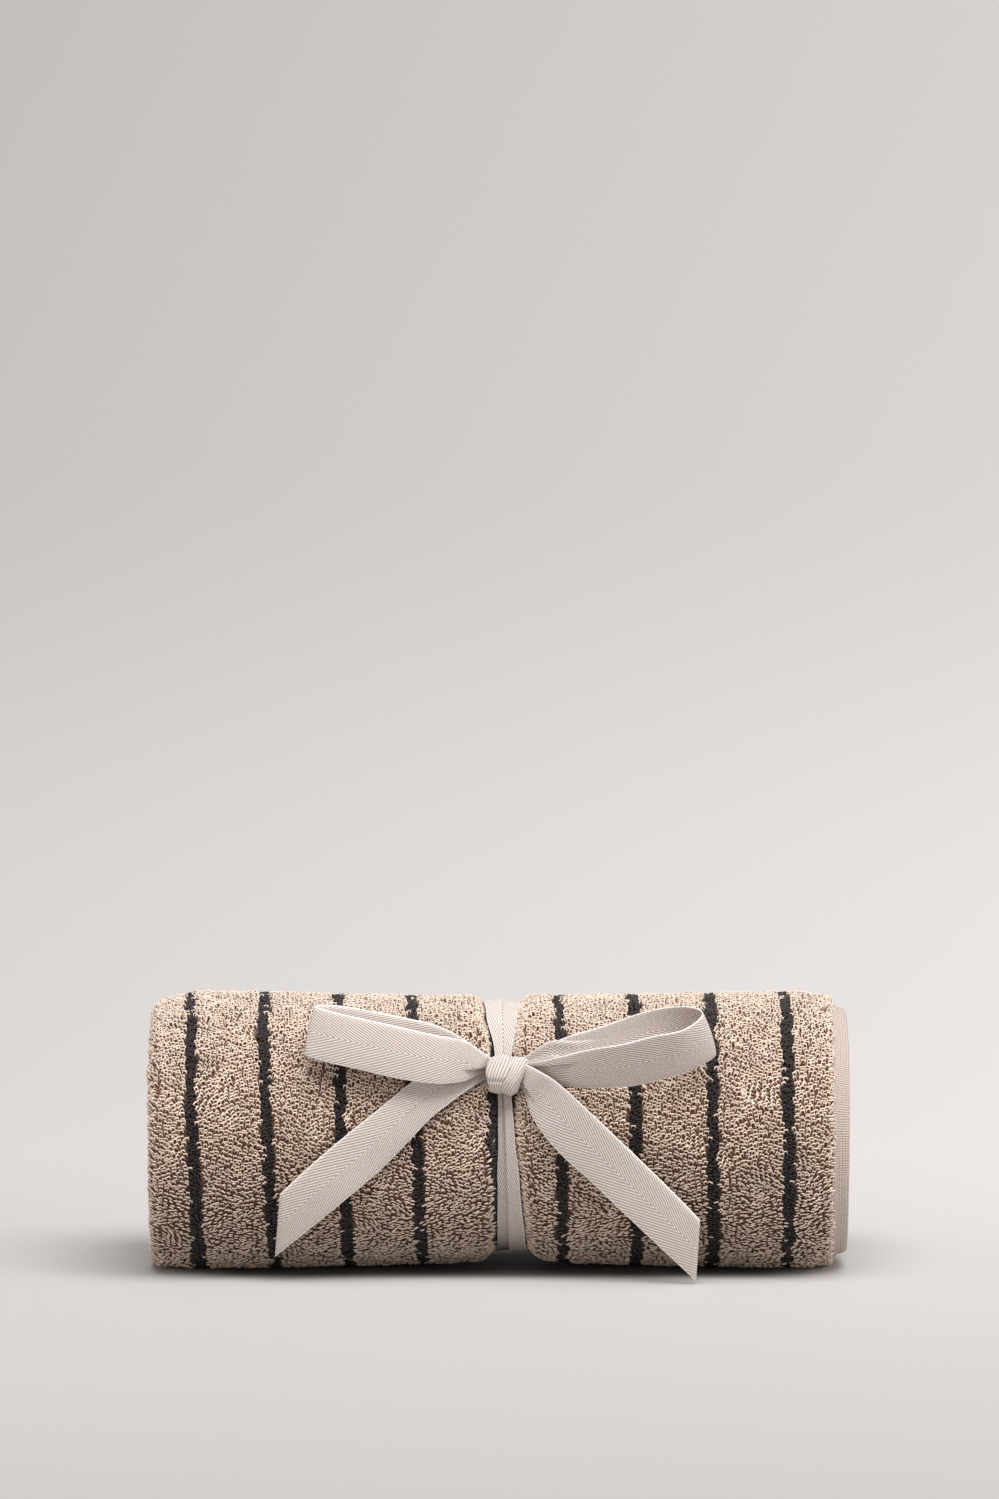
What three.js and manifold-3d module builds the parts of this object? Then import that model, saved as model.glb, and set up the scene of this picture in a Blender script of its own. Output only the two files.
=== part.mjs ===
// A terry hand towel, folded in half across its width, rolled up from one short edge and tied round its
// middle with a herringbone tape in a bow. Millimetres, X along the roll, the bow towards -Y, +Z up.
import * as THREE from 'three';
import { mergeVertices } from 'three/addons/utils/BufferGeometryUtils.js';
import Module from 'manifold-3d';

const wasm = await Module();
wasm.setup();

// The towel as it was cut, and the double layer that is rolled up
const TOWEL_LENGTH = 700;
const PLY = 4.4;
const LAYER = 2 * PLY;

// The roll: an angle of 0 is its front, 90 its top, 180 its back, and the cloth winds outwards that way
const FOLD_END = -111;
const HEM_END = 111.5;
const AXIS_HEIGHT = 40.5;
const LAP_ANGLE = 575;
const LAP_RADIUS = 49.8;
const TURN = 360;
const ANGLE_STEP = 9;

// The ends: a rounded fold on the left, two selvedge hems on the right, and a groove between the turns
const GROOVE = 6;
const GROOVE_FADE = 30;
const CORE_DEPTH = 18;
const CORE_MIDDLE = 1.5;
const LAP_SWELL = 3;
const TURN_PROFILE = [
  // share: 0 is the double layer's inner face, 1 its outer face; fold and hems: how far each lies inwards
  { share: 0.00, fold: 4.4, hems: 6.0 },
  { share: 0.08, fold: 2.0, hems: 4.8 },
  { share: 0.32, fold: 0.3, hems: 4.2 },
  { share: 0.38, fold: 0.1, hems: 0.4 },
  { share: 0.50, fold: 0.0, hems: 2.5 },
  { share: 0.62, fold: 0.1, hems: 0.0 },
  { share: 0.68, fold: 0.3, hems: 4.0 },
  { share: 0.92, fold: 2.0, hems: 4.8 },
  { share: 1.00, fold: 4.4, hems: 6.0 },
];

// How the roll tapers at its ends, and how the tape draws its waist in
const FOLD_TAPER = { depth: 5, reach: 19, power: 1.8 };
const HEM_TAPER = { depth: 3.2, reach: 15, power: 2 };
const TOP_TAPER = { level: 0.65, more: 0.35 };
const WAIST = { broad: 2.2, broadReach: 50, groove: 4.15, wall: 1.2, lift: 1.1, liftReach: 12, broadLift: 0.5 };
const UNEVEN = { height: 0.35, length: 17, phase: 1.1, lean: 0.4 };

// The tape
const TAPE_WIDE = 16;
const TAPE_THICK = 1;
const PLEAT_THICK = 2.2;
const PLEAT_PACKING = 0.7;
const CREASE = 0.5;
const CLEARANCE = 0.5;
const BAND = [
  // how wide the tape lies round the roll: flat at the back, drawn together at the knot
  { angle: -180, half: 8.0 },
  { angle: -90, half: 6.5 },
  { angle: -53, half: 4.4 },
  { angle: -15, half: 3.4 },
  { angle: 0, half: 2.9 },
  { angle: 30, half: 2.4 },
  { angle: 48, half: 2.9 },
  { angle: 95, half: 5.6 },
  { angle: 130, half: 7.5 },
  { angle: 180, half: 8.0 },
];
const BAND_MIDDLE = 3.0;
const BAND_SWAY = 1.7;
const BAND_LAP = 30;

// The knot sits in a dimple of its own, and turns its wrap and its crossing ply to the front
const KNOT = { angle: 32, x: 3.3, above: 6, dimple: 3, dimpleReach: 9 };
const KNOT_PLIES = [
  // right and up from the knot's middle, out from the roll, the half sizes, and the lean of each ply
  { right: -1.2, up: 0.0, out: 0.0, halfWide: 5.2, halfTall: 5.9, halfDeep: 4.2, lean: 0 },
  { right: 3.4, up: 0.6, out: 0.9, halfWide: 2.7, halfTall: 5.5, halfDeep: 3.4, lean: 22 },
];

// The tape's two edges, from the knot out along each loop's front ply, round its end and back behind it
const LEFT_LOOP = [
  { upper: [-1.0, -39.5, 70.0], lower: [-1.0, -39.5, 66.0] },
  { upper: [-4.2, -40.0, 71.5], lower: [-4.2, -40.5, 66.1] },
  { upper: [-10.2, -41.5, 76.4], lower: [-10.2, -43.5, 64.0] },
  { upper: [-18.1, -42.5, 78.1], lower: [-18.1, -46.0, 63.4] },
  { upper: [-30.7, -42.0, 80.9], lower: [-30.6, -46.0, 64.9] },
  { upper: [-43.2, -41.0, 83.6], lower: [-43.2, -45.0, 67.7] },
  { upper: [-52.7, -39.5, 85.7], lower: [-55.2, -43.5, 70.3] },
  { upper: [-57.4, -37.0, 86.8], lower: [-60.5, -41.2, 72.0] },
  { upper: [-51.2, -35.6, 87.0], lower: [-52.7, -39.0, 71.6] },
  { upper: [-30.7, -36.6, 83.4], lower: [-31.9, -39.2, 68.0] },
  { upper: [-18.1, -38.0, 80.4], lower: [-19.4, -40.0, 65.6] },
  { upper: [-10.2, -38.5, 76.4], lower: [-10.2, -39.5, 65.2] },
  { upper: [-3.6, -38.0, 71.9], lower: [-3.6, -38.5, 66.8] },
  { upper: [-1.0, -38.0, 70.0], lower: [-1.0, -38.0, 66.5] },
];
const LEFT_BEND_ROW = 7;
const RIGHT_LOOP = [
  { upper: [7.0, -39.5, 69.0], lower: [7.0, -39.5, 65.8] },
  { upper: [9.6, -40.5, 69.3], lower: [9.3, -40.0, 65.4] },
  { upper: [14.9, -44.0, 70.7], lower: [13.7, -42.0, 64.1] },
  { upper: [20.9, -47.5, 72.7], lower: [19.7, -44.5, 62.5] },
  { upper: [29.6, -51.5, 75.1], lower: [29.1, -46.0, 62.1] },
  { upper: [39.3, -54.0, 77.0], lower: [40.1, -47.5, 62.6] },
  { upper: [48.7, -55.0, 79.6], lower: [50.1, -48.0, 64.6] },
  { upper: [58.4, -54.0, 81.6], lower: [61.4, -47.5, 68.2] },
  { upper: [64.3, -49.5, 85.6], lower: [68.7, -43.0, 72.2] },
  { upper: [60.0, -44.0, 87.5], lower: [63.6, -37.0, 73.0] },
  { upper: [48.9, -42.6, 86.0], lower: [50.3, -35.5, 71.9] },
  { upper: [32.2, -42.0, 80.3], lower: [32.3, -36.8, 67.4] },
  { upper: [20.0, -40.5, 76.7], lower: [19.1, -37.5, 66.4] },
  { upper: [10.2, -39.0, 71.3], lower: [9.9, -38.5, 66.8] },
  { upper: [7.0, -38.5, 69.5], lower: [7.0, -38.5, 66.5] },
];
const RIGHT_BEND_ROW = 8;

// Each tail's two edges, from the knot down to its slanted cut
const LEFT_TAIL = [
  { upper: [-0.5, -38.5, 68.0], lower: [0.5, -38.5, 64.0] },
  { upper: [-3.3, -38.6, 68.7], lower: [-3.6, -38.9, 63.6] },
  { upper: [-13.4, -36.6, 69.1], lower: [-9.9, -41.4, 60.8] },
  { upper: [-21.9, -38.0, 66.4], lower: [-14.9, -42.8, 57.0] },
  { upper: [-29.4, -41.0, 61.4], lower: [-20.6, -44.0, 52.6] },
  { upper: [-37.0, -43.6, 55.4], lower: [-27.2, -45.0, 45.8] },
  { upper: [-46.4, -45.6, 48.1], lower: [-36.2, -45.6, 36.6] },
  { upper: [-58.6, -46.5, 37.8], lower: [-48.6, -47.0, 26.1] },
  { upper: [-68.4, -47.5, 28.7], lower: [-70.1, -44.5, 8.3] },
];
const RIGHT_TAIL = [
  { upper: [6.0, -39.5, 68.5], lower: [4.5, -39.5, 64.5] },
  { upper: [8.3, -41.2, 69.1], lower: [6.1, -40.8, 63.3] },
  { upper: [14.6, -45.5, 66.8], lower: [8.3, -44.0, 59.3] },
  { upper: [20.9, -47.5, 62.3], lower: [11.4, -46.5, 52.0] },
  { upper: [29.7, -48.5, 54.2], lower: [18.6, -47.5, 42.6] },
  { upper: [39.7, -49.0, 44.7], lower: [29.1, -48.0, 32.9] },
  { upper: [49.8, -49.0, 34.9], lower: [39.1, -48.5, 23.3] },
  { upper: [58.0, -49.0, 26.7], lower: [49.3, -48.5, 13.6] },
  { upper: [63.7, -49.0, 20.7], lower: [62.5, -47.5, 1.0] },
];
const STEPS_A_ROW = 2;

const towelMaterial = new THREE.MeshStandardMaterial({ color: '#b5a08b', roughness: 0.95, metalness: 0 });
const tapeMaterial = new THREE.MeshStandardMaterial({ color: '#ddd0c7', roughness: 0.8, metalness: 0 });

const radians = THREE.MathUtils.degToRad;

// Value of a table's column at a position, eased between its rows
function between(rows, key, column, position) {
  const next = rows.findIndex((row) => row[key] >= position);
  if (next <= 0) return rows[Math.max(next, 0)][column];
  const [from, to] = [rows[next - 1], rows[next]];
  const share = THREE.MathUtils.smoothstep(position, from[key], to[key]);
  return THREE.MathUtils.lerp(from[column], to[column], share);
}

// Outer radius of the wound double layer at a winding angle, before anything presses on it
const spiral = (angle) => LAP_RADIUS - LAYER * (LAP_ANGLE - angle) / TURN;

// The same direction on the outermost turn
const outermost = (angle) => LAP_ANGLE - TURN + THREE.MathUtils.euclideanModulo(angle - LAP_ANGLE, TURN);

// The winding angle at which the towel's first edge lies, so that its whole length is in the roll
function firstAngle() {
  const growth = LAYER / (2 * Math.PI);
  const last = LAP_RADIUS - LAYER / 2;
  const wound = (last - Math.sqrt(last ** 2 - 2 * growth * TOWEL_LENGTH)) / growth;
  const turns = THREE.MathUtils.radToDeg(wound);
  return LAP_ANGLE - ANGLE_STEP * Math.round(turns / ANGLE_STEP);
}

const bandMiddle = (angle) => BAND_MIDDLE - BAND_SWAY * Math.sin(radians(angle));
const frontAngle = (angle) => THREE.MathUtils.euclideanModulo(angle + 180, TURN) - 180;
const bandHalf = (angle) => between(BAND, 'angle', 'half', frontAngle(angle));

// Half the width of the waist's groove: the tape's, and wider where the knot presses in
function grooveHalf(angle) {
  const fromKnot = (frontAngle(angle) - KNOT.angle) / KNOT.dimpleReach;
  return bandHalf(angle) + WAIST.wall + KNOT.dimple * Math.exp(-(fromKnot ** 2));
}

// How far the skin is pressed towards the axis: the ends' tapers, the waist and the cloth's unevenness
function squeeze(x, angle) {
  const fromTape = x - bandMiddle(angle);
  const pressed = TOP_TAPER.level + TOP_TAPER.more * Math.sin(radians(angle));
  const left = Math.max(0, 1 - (x - FOLD_END) / FOLD_TAPER.reach) ** FOLD_TAPER.power;
  const right = Math.max(0, 1 - (HEM_END - x) / HEM_TAPER.reach) ** HEM_TAPER.power;
  const broad = WAIST.broad * Math.exp(-((fromTape / WAIST.broadReach) ** 2));
  const groove = WAIST.groove * Math.exp(-((fromTape / grooveHalf(angle)) ** 8));
  const alongWave = Math.sin(x / UNEVEN.length + UNEVEN.phase);
  const waves = UNEVEN.height * alongWave * Math.sin(radians(2 * angle) + UNEVEN.lean);
  return FOLD_TAPER.depth * pressed * left + HEM_TAPER.depth * right + broad + groove + waves;
}

// Height of the roll's axis: the tape lifts the waist off the surface
function axisHeight(x, angle) {
  const fromTape = x - bandMiddle(angle);
  const near = WAIST.lift * Math.exp(-((fromTape / WAIST.liftReach) ** 2));
  return AXIS_HEIGHT + near + WAIST.broadLift * Math.exp(-((fromTape / WAIST.broadReach) ** 2));
}

const skinRadius = (x, angle) => spiral(outermost(angle)) - squeeze(x, angle);

// A point at a radius and an angle, lying on the surface where the roll's weight flattens it
function polar(x, angle, radius) {
  const y = -radius * Math.cos(radians(angle));
  const z = axisHeight(x, angle) + radius * Math.sin(radians(angle));
  return new THREE.Vector3(x, y, Math.max(z, 0));
}

// A point of the wound layer: share 0 is the inner face of the double cloth, 1 its outer face
function layerPoint(x, angle, share) {
  const radius = spiral(angle) - LAYER * (1 - share);
  const pressed = skinRadius(x, angle) / spiral(outermost(angle));
  return polar(x, angle, radius * pressed);
}

// Collects the triangles of the surfaces that close one solid
class Shell {
  constructor() {
    this.corners = [];
  }

  triangle(a, b, c) {
    this.corners.push(...a.toArray(), ...b.toArray(), ...c.toArray());
  }

  // A surface worked out at each pair of values, facing the way across rows from columns turns
  surface(rows, columns, point) {
    const grid = rows.map((row) => columns.map((column) => point(row, column)));
    for (let i = 0; i + 1 < rows.length; i += 1) {
      for (let j = 0; j + 1 < columns.length; j += 1) {
        this.triangle(grid[i][j], grid[i + 1][j], grid[i + 1][j + 1]);
        this.triangle(grid[i][j], grid[i + 1][j + 1], grid[i][j + 1]);
      }
    }
  }

  fan(middle, rim, flip) {
    rim.forEach((point, index) => {
      const next = rim[(index + 1) % rim.length];
      if (flip) this.triangle(middle, next, point);
      else this.triangle(middle, point, next);
    });
  }

  solid() {
    const geometry = new THREE.BufferGeometry();
    geometry.setAttribute('position', new THREE.Float32BufferAttribute(this.corners, 3));
    return solidOf(geometry);
  }
}

// A closed mesh as a solid that can be joined to others
function solidOf(geometry) {
  const bare = new THREE.BufferGeometry();
  bare.setAttribute('position', geometry.getAttribute('position').clone());
  bare.setIndex(geometry.getIndex());
  const merged = mergeVertices(bare, 1e-4);
  return new wasm.Manifold(new wasm.Mesh({
    numProp: 3,
    vertProperties: Float32Array.from(merged.getAttribute('position').array),
    triVerts: Uint32Array.from(merged.getIndex().array),
  }));
}

// A solid as a mesh's geometry
function geometryOf(solid) {
  const mesh = solid.getMesh();
  const geometry = new THREE.BufferGeometry();
  geometry.setAttribute('position', new THREE.BufferAttribute(mesh.vertProperties, 3));
  geometry.setIndex(new THREE.BufferAttribute(mesh.triVerts, 1));
  geometry.computeVertexNormals();
  return geometry;
}

const stepped = (from, to, step) => {
  const count = Math.round((to - from) / step);
  return Array.from({ length: count + 1 }, (_, index) => from + index * step);
};

// Where the columns of the roll's skin lie along it: close together at the ends and in the groove
const END_COLUMNS = [0, 0.04, 0.1, 0.2, 0.4, 0.6, 0.8];
const GROOVE_COLUMNS = [-1.4, -1.15, -1, -0.85, -0.7, -0.4, 0, 0.4, 0.7, 0.85, 1, 1.15, 1.4];
const COLUMN_COUNT = 2 * END_COLUMNS.length + GROOVE_COLUMNS.length;
const SKIN_COLUMNS = Array.from({ length: COLUMN_COUNT }, (_, index) => index);

const lastRow = TURN_PROFILE.at(-1);
const SKIN_LEFT = FOLD_END + lastRow.fold;
const SKIN_RIGHT = HEM_END - lastRow.hems;

function columnX(column, angle) {
  const middle = bandMiddle(angle);
  const half = grooveHalf(angle);
  const ends = END_COLUMNS.length;
  if (column < ends) {
    return THREE.MathUtils.lerp(SKIN_LEFT, middle + half * GROOVE_COLUMNS[0], END_COLUMNS[column]);
  }
  if (column < ends + GROOVE_COLUMNS.length) return middle + half * GROOVE_COLUMNS[column - ends];
  const share = END_COLUMNS[SKIN_COLUMNS.length - 1 - column];
  return THREE.MathUtils.lerp(SKIN_RIGHT, middle + half * GROOVE_COLUMNS.at(-1), share);
}

// The rolled towel: its skin, its lap, both ends with their turns, and the core's open middle
function rolledTowel() {
  const shell = new Shell();
  const start = firstAngle();
  const turnAngles = stepped(start, LAP_ANGLE, ANGLE_STEP);
  const skinAngles = stepped(LAP_ANGLE - TURN, LAP_ANGLE, ANGLE_STEP);
  const coreAngles = stepped(start, start + TURN, ANGLE_STEP);

  // The groove between two turns runs out where the lap begins
  const grooveAt = (angle) => GROOVE * THREE.MathUtils.clamp((LAP_ANGLE - TURN - angle) / GROOVE_FADE, 0, 1);
  const groove = (angle, share) => {
    if (share === 1) return grooveAt(angle);
    return share === 0 ? grooveAt(angle - TURN) : 0;
  };
  const foldX = (row, angle) => FOLD_END + row.fold + groove(angle, row.share);
  const hemX = (row, angle) => HEM_END - row.hems - groove(angle, row.share);

  // The loose end's two plies swell a little past the last angle
  const plySwell = (share) => LAP_SWELL * Math.abs(Math.sin(2 * Math.PI * share));
  const swell = (angle, share) => (angle === LAP_ANGLE ? plySwell(share) : 0);
  const at = (x, angle, share) => layerPoint(x, angle + swell(angle, share), share);

  shell.surface(SKIN_COLUMNS, skinAngles, (column, angle) => at(columnX(column, angle), angle, 1));
  shell.surface(TURN_PROFILE, turnAngles, (row, angle) => at(foldX(row, angle), angle, row.share));
  shell.surface(turnAngles, TURN_PROFILE, (angle, row) => at(hemX(row, angle), angle, row.share));

  const lapX = (row, column) => {
    const along = (columnX(column, LAP_ANGLE) - SKIN_LEFT) / (SKIN_RIGHT - SKIN_LEFT);
    return THREE.MathUtils.lerp(foldX(row, LAP_ANGLE), hemX(row, LAP_ANGLE), along);
  };
  shell.surface(TURN_PROFILE, SKIN_COLUMNS, (row, column) => at(lapX(row, column), LAP_ANGLE, row.share));

  // The core: the first turn's inner face and the towel's first edge, open to a blind depth at each end
  const inner = TURN_PROFILE[0];
  const [leftFloor, rightFloor] = [FOLD_END + CORE_DEPTH, HEM_END - CORE_DEPTH];
  const depths = [0, 1];
  const coreLeft = (angle, row, depth) => at(depth ? leftFloor : foldX(row, angle), angle, row.share);
  const coreRight = (angle, row, depth) => at(depth ? rightFloor : hemX(row, angle), angle, row.share);
  shell.surface(coreAngles, depths, (angle, depth) => coreLeft(angle, inner, depth));
  shell.surface(depths, coreAngles, (depth, angle) => coreRight(angle, inner, depth));
  shell.surface(depths, TURN_PROFILE, (depth, row) => coreLeft(start, row, depth));
  shell.surface(TURN_PROFILE, depths, (row, depth) => coreRight(start, row, depth));

  const edgeRows = TURN_PROFILE.slice(1, -1).reverse();
  const rim = (floor) => [
    ...coreAngles.map((angle) => at(floor, angle, 0)),
    ...edgeRows.map((row) => at(floor, start, row.share)),
  ];
  const coreMiddle = (floor) => polar(floor, start - 90, CORE_MIDDLE);
  shell.fan(coreMiddle(leftFloor), rim(leftFloor), false);
  shell.fan(coreMiddle(rightFloor), rim(rightFloor), true);
  return shell.solid();
}

// Thickness of the tape where it is drawn together into pleats
function pleated(width) {
  const packed = TAPE_THICK * PLEAT_PACKING * TAPE_WIDE / width;
  return THREE.MathUtils.clamp(packed, TAPE_THICK, PLEAT_THICK);
}

// The band round the roll, creased along its middle where it is narrow
function band() {
  const section = [
    { across: -1, outer: 1 }, { across: -0.5, outer: 1 }, { across: 0, outer: 1 }, { across: 0.5, outer: 1 },
    { across: 1, outer: 1 }, { across: 1, outer: 0 }, { across: 0, outer: 0 }, { across: -1, outer: 0 },
    { across: -1, outer: 1 },
  ];
  const angles = stepped(LAP_ANGLE - TURN, LAP_ANGLE, ANGLE_STEP);
  const shell = new Shell();
  shell.surface(section, angles, (corner, angle) => {
    const round = outermost(angle);
    const half = bandHalf(round);
    const thick = pleated(2 * half);
    const crease = corner.across === 0 ? CREASE * (1 - half / (TAPE_WIDE / 2)) : 0;
    const x = bandMiddle(round) + half * corner.across;
    const lap = LAYER * THREE.MathUtils.smoothstep(LAP_ANGLE - TURN + BAND_LAP - round, 0, BAND_LAP);
    return polar(x, round, skinRadius(x, round) + lap + CLEARANCE + corner.outer * (thick - crease));
  });
  return shell.solid();
}

// A ply of tape between two edge curves, over a stretch of its rows
function ply(rows, from, to) {
  const upper = new THREE.CatmullRomCurve3(rows.map((row) => new THREE.Vector3(...row.upper)));
  const lower = new THREE.CatmullRomCurve3(rows.map((row) => new THREE.Vector3(...row.lower)));
  const last = rows.length - 1;
  const places = stepped(from * STEPS_A_ROW, to * STEPS_A_ROW, 1).map((step) => step / STEPS_A_ROW / last);
  const corners = [
    { share: 0, side: 0.5 }, { share: 0.5, side: 0.5 }, { share: 1, side: 0.5 },
    { share: 1, side: -0.5 }, { share: 0.5, side: -0.5 }, { share: 0, side: -0.5 },
    { share: 0, side: 0.5 },
  ];
  const point = (place, corner) => {
    const [top, bottom] = [upper.getPoint(place), lower.getPoint(place)];
    const across = bottom.clone().sub(top);
    const along = upper.getTangent(place).add(lower.getTangent(place));
    const out = along.cross(across).normalize();
    const thick = pleated(across.length());
    return top.addScaledVector(across, corner.share).addScaledVector(out, thick * corner.side);
  };
  const shell = new Shell();
  shell.surface(places, corners, point);
  const cap = (place, flip) => {
    const rim = corners.slice(0, -1).map((corner) => point(place, corner));
    const middle = rim.reduce((sum, corner) => sum.add(corner), new THREE.Vector3()).divideScalar(rim.length);
    shell.fan(middle, rim, flip);
  };
  cap(places[0], false);
  cap(places.at(-1), true);
  return shell.solid();
}

// A loop: its front ply and its back ply meet in the bend at its far end
function loop(rows, bend) {
  return ply(rows, 0, bend).add(ply(rows, bend, rows.length - 1));
}

// The knot: rounded plies that wrap over the band
function knot() {
  const angle = radians(KNOT.angle);
  const right = new THREE.Vector3(1, 0, 0);
  const up = new THREE.Vector3(0, Math.sin(angle), Math.cos(angle));
  const out = new THREE.Vector3(0, -Math.cos(angle), Math.sin(angle));
  const middle = polar(KNOT.x, KNOT.angle, skinRadius(KNOT.x, KNOT.angle) + KNOT.above);
  const plies = KNOT_PLIES.map((piece) => {
    const geometry = new THREE.SphereGeometry(1, 20, 12);
    geometry.scale(piece.halfWide, piece.halfTall, piece.halfDeep);
    geometry.rotateZ(radians(piece.lean));
    geometry.translate(piece.right, piece.up, piece.out);
    geometry.applyMatrix4(new THREE.Matrix4().makeBasis(right, up, out));
    geometry.translate(...middle.toArray());
    return solidOf(geometry);
  });
  return plies.reduce((whole, piece) => whole.add(piece));
}

// The tie is one length of tape: the band, the knot, two loops and two tails
function bowTie() {
  const lastOf = (rows) => rows.length - 1;
  const pieces = [
    band(),
    knot(),
    loop(LEFT_LOOP, LEFT_BEND_ROW),
    loop(RIGHT_LOOP, RIGHT_BEND_ROW),
    ply(LEFT_TAIL, 0, lastOf(LEFT_TAIL)),
    ply(RIGHT_TAIL, 0, lastOf(RIGHT_TAIL)),
  ];
  return pieces.reduce((whole, piece) => whole.add(piece));
}

function named(name, solid, material) {
  const mesh = new THREE.Mesh(geometryOf(solid), material);
  mesh.name = name;
  return mesh;
}

const rolledHandTowel = new THREE.Group();
rolledHandTowel.add(
  named('towel_roll', rolledTowel(), towelMaterial),
  named('bow_tie', bowTie(), tapeMaterial),
);

// The origin is under the middle of the whole, on the surface it rests on
const box = new THREE.Box3().setFromObject(rolledHandTowel);
const middle = box.getCenter(new THREE.Vector3());
rolledHandTowel.position.set(-middle.x, -middle.y, -box.min.z);

export default rolledHandTowel;
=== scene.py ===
"""A rolled terry hand towel tied with a bow of herringbone tape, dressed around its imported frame.

Sizes are in millimetres in the roll's own frame: X along the roll, its axis over Y = 0, the surface it
lies on at Z = 0. An angle of 0 is the roll's front, 90 its top, 180 its back and 270 its underside, and the
cloth winds outwards that way. Meshes are written in metres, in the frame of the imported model.
"""

from __future__ import annotations

import logging
import math
from dataclasses import dataclass, field
from enum import Enum

import bpy
import numpy as np
from mathutils import Matrix, Vector

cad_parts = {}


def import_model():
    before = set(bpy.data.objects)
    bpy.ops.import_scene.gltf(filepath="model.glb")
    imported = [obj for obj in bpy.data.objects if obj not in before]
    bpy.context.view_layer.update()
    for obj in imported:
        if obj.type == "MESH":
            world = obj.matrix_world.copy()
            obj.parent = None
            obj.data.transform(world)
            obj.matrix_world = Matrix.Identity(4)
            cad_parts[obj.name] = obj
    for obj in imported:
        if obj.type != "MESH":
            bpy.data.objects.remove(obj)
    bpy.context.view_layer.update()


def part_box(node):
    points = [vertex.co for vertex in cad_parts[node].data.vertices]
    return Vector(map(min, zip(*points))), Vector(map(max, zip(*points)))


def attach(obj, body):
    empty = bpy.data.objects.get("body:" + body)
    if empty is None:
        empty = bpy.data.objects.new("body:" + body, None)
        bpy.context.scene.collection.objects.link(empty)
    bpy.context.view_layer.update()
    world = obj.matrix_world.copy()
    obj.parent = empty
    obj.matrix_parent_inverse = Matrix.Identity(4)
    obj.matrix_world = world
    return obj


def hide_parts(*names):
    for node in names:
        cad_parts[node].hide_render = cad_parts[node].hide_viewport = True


LOG = logging.getLogger("rolled_towel")
MM = 0.001
TURN = 360.0
BODY = "root"
BAKE_MAP = "OFBake"
BAKE_EDGE = 0.002
Array = np.ndarray
Material = bpy.types.Material
Object = bpy.types.Object
Socket = bpy.types.NodeSocket
Inputs = bpy.types.NodeInputs
Pair = tuple[float, float]
Colour = tuple[float, float, float]
Point = tuple[float, float, float]


class Slot(Enum):
    """The record's material slots."""

    TERRY = "terry"
    TAPE = "tape"


def smooth_step(share: Array) -> Array:
    """Ease a share: 3 s squared less 2 s cubed, between 0 and 1."""
    held = np.clip(share, 0.0, 1.0)
    return held * held * (3.0 - 2.0 * held)


def bell(offset: Array, reach: Array | float, power: int = 2) -> Array:
    """A bell: e to less the offset's share of the reach, raised to the power."""
    return np.exp(-(np.abs(offset / reach) ** power))


def rounded(inwards: Array, radius: float, least: float) -> Array:
    """Share of a sheet's thickness at a distance in from its edge: a quarter circle, at least so much."""
    return np.sqrt(np.clip(1 - np.clip(1 - inwards / radius, 0, 1) ** 2, least, 1))


def unit(vectors: Array) -> Array:
    """Divide each vector by its length."""
    return vectors / np.maximum(np.linalg.norm(vectors, axis=-1, keepdims=True), 1e-9)


def travelled(steps: Array) -> Array:
    """Length travelled at each point, from the steps between them."""
    return np.concatenate([[0.0], np.cumsum(steps)])


def stacked(*parts: Array) -> Array:
    """Spread the parts to one shape, and stack them in the last place."""
    return np.stack(np.broadcast_arrays(*parts), -1)


def eased(position: Array, rows: tuple[Pair, ...]) -> Array:
    """Read a short table at each position, eased between its rows.

    Args:
        position: Where to read it.
        rows: Pairs of place and value, in rising places.

    Returns:
        The value at each position, held at the first and last rows.
    """
    places, values = (np.array(column) for column in zip(*rows))
    at = np.clip(np.searchsorted(places, position) - 1, 0, len(places) - 2)
    share = smooth_step((position - places[at]) / (places[at + 1] - places[at]))
    return values[at] + (values[at + 1] - values[at]) * share


def patchy(across: Array, along: Array, reach: float, seed: int, waves: int = 7) -> Array:
    """Smooth unevenness over the cloth: a sum of sine waves that run in random directions.

    Args:
        across, along: Places on the cloth.
        reach: About how long one wave is.
        seed: Seeds the directions, lengths and phases.
        waves: How many waves are summed.

    Returns:
        Values of about -1 to 1.
    """
    draw = np.random.default_rng(seed)
    heading = draw.uniform(0, 2 * math.pi, waves)
    length = reach * draw.uniform(0.7, 1.6, waves)
    phase = draw.uniform(0, 2 * math.pi, waves)
    onward = across[..., None] * np.cos(heading) + along[..., None] * np.sin(heading)
    return np.sin(2 * math.pi * onward / length + phase).sum(-1) / math.sqrt(waves)


def grid_faces(rows: int, columns: int) -> tuple[Array, Array]:
    """Number the points of a grid row by row.

    Args:
        rows, columns: How many it has.

    Returns:
        The grid of numbers, and the four corners of each of its squares.
    """
    index = np.arange(rows * columns).reshape(rows, columns)
    near, far = index[:-1], index[1:]
    return index, np.stack([near[:, :-1], far[:, :-1], far[:, 1:], near[:, 1:]], -1).reshape(-1, 4)


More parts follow.
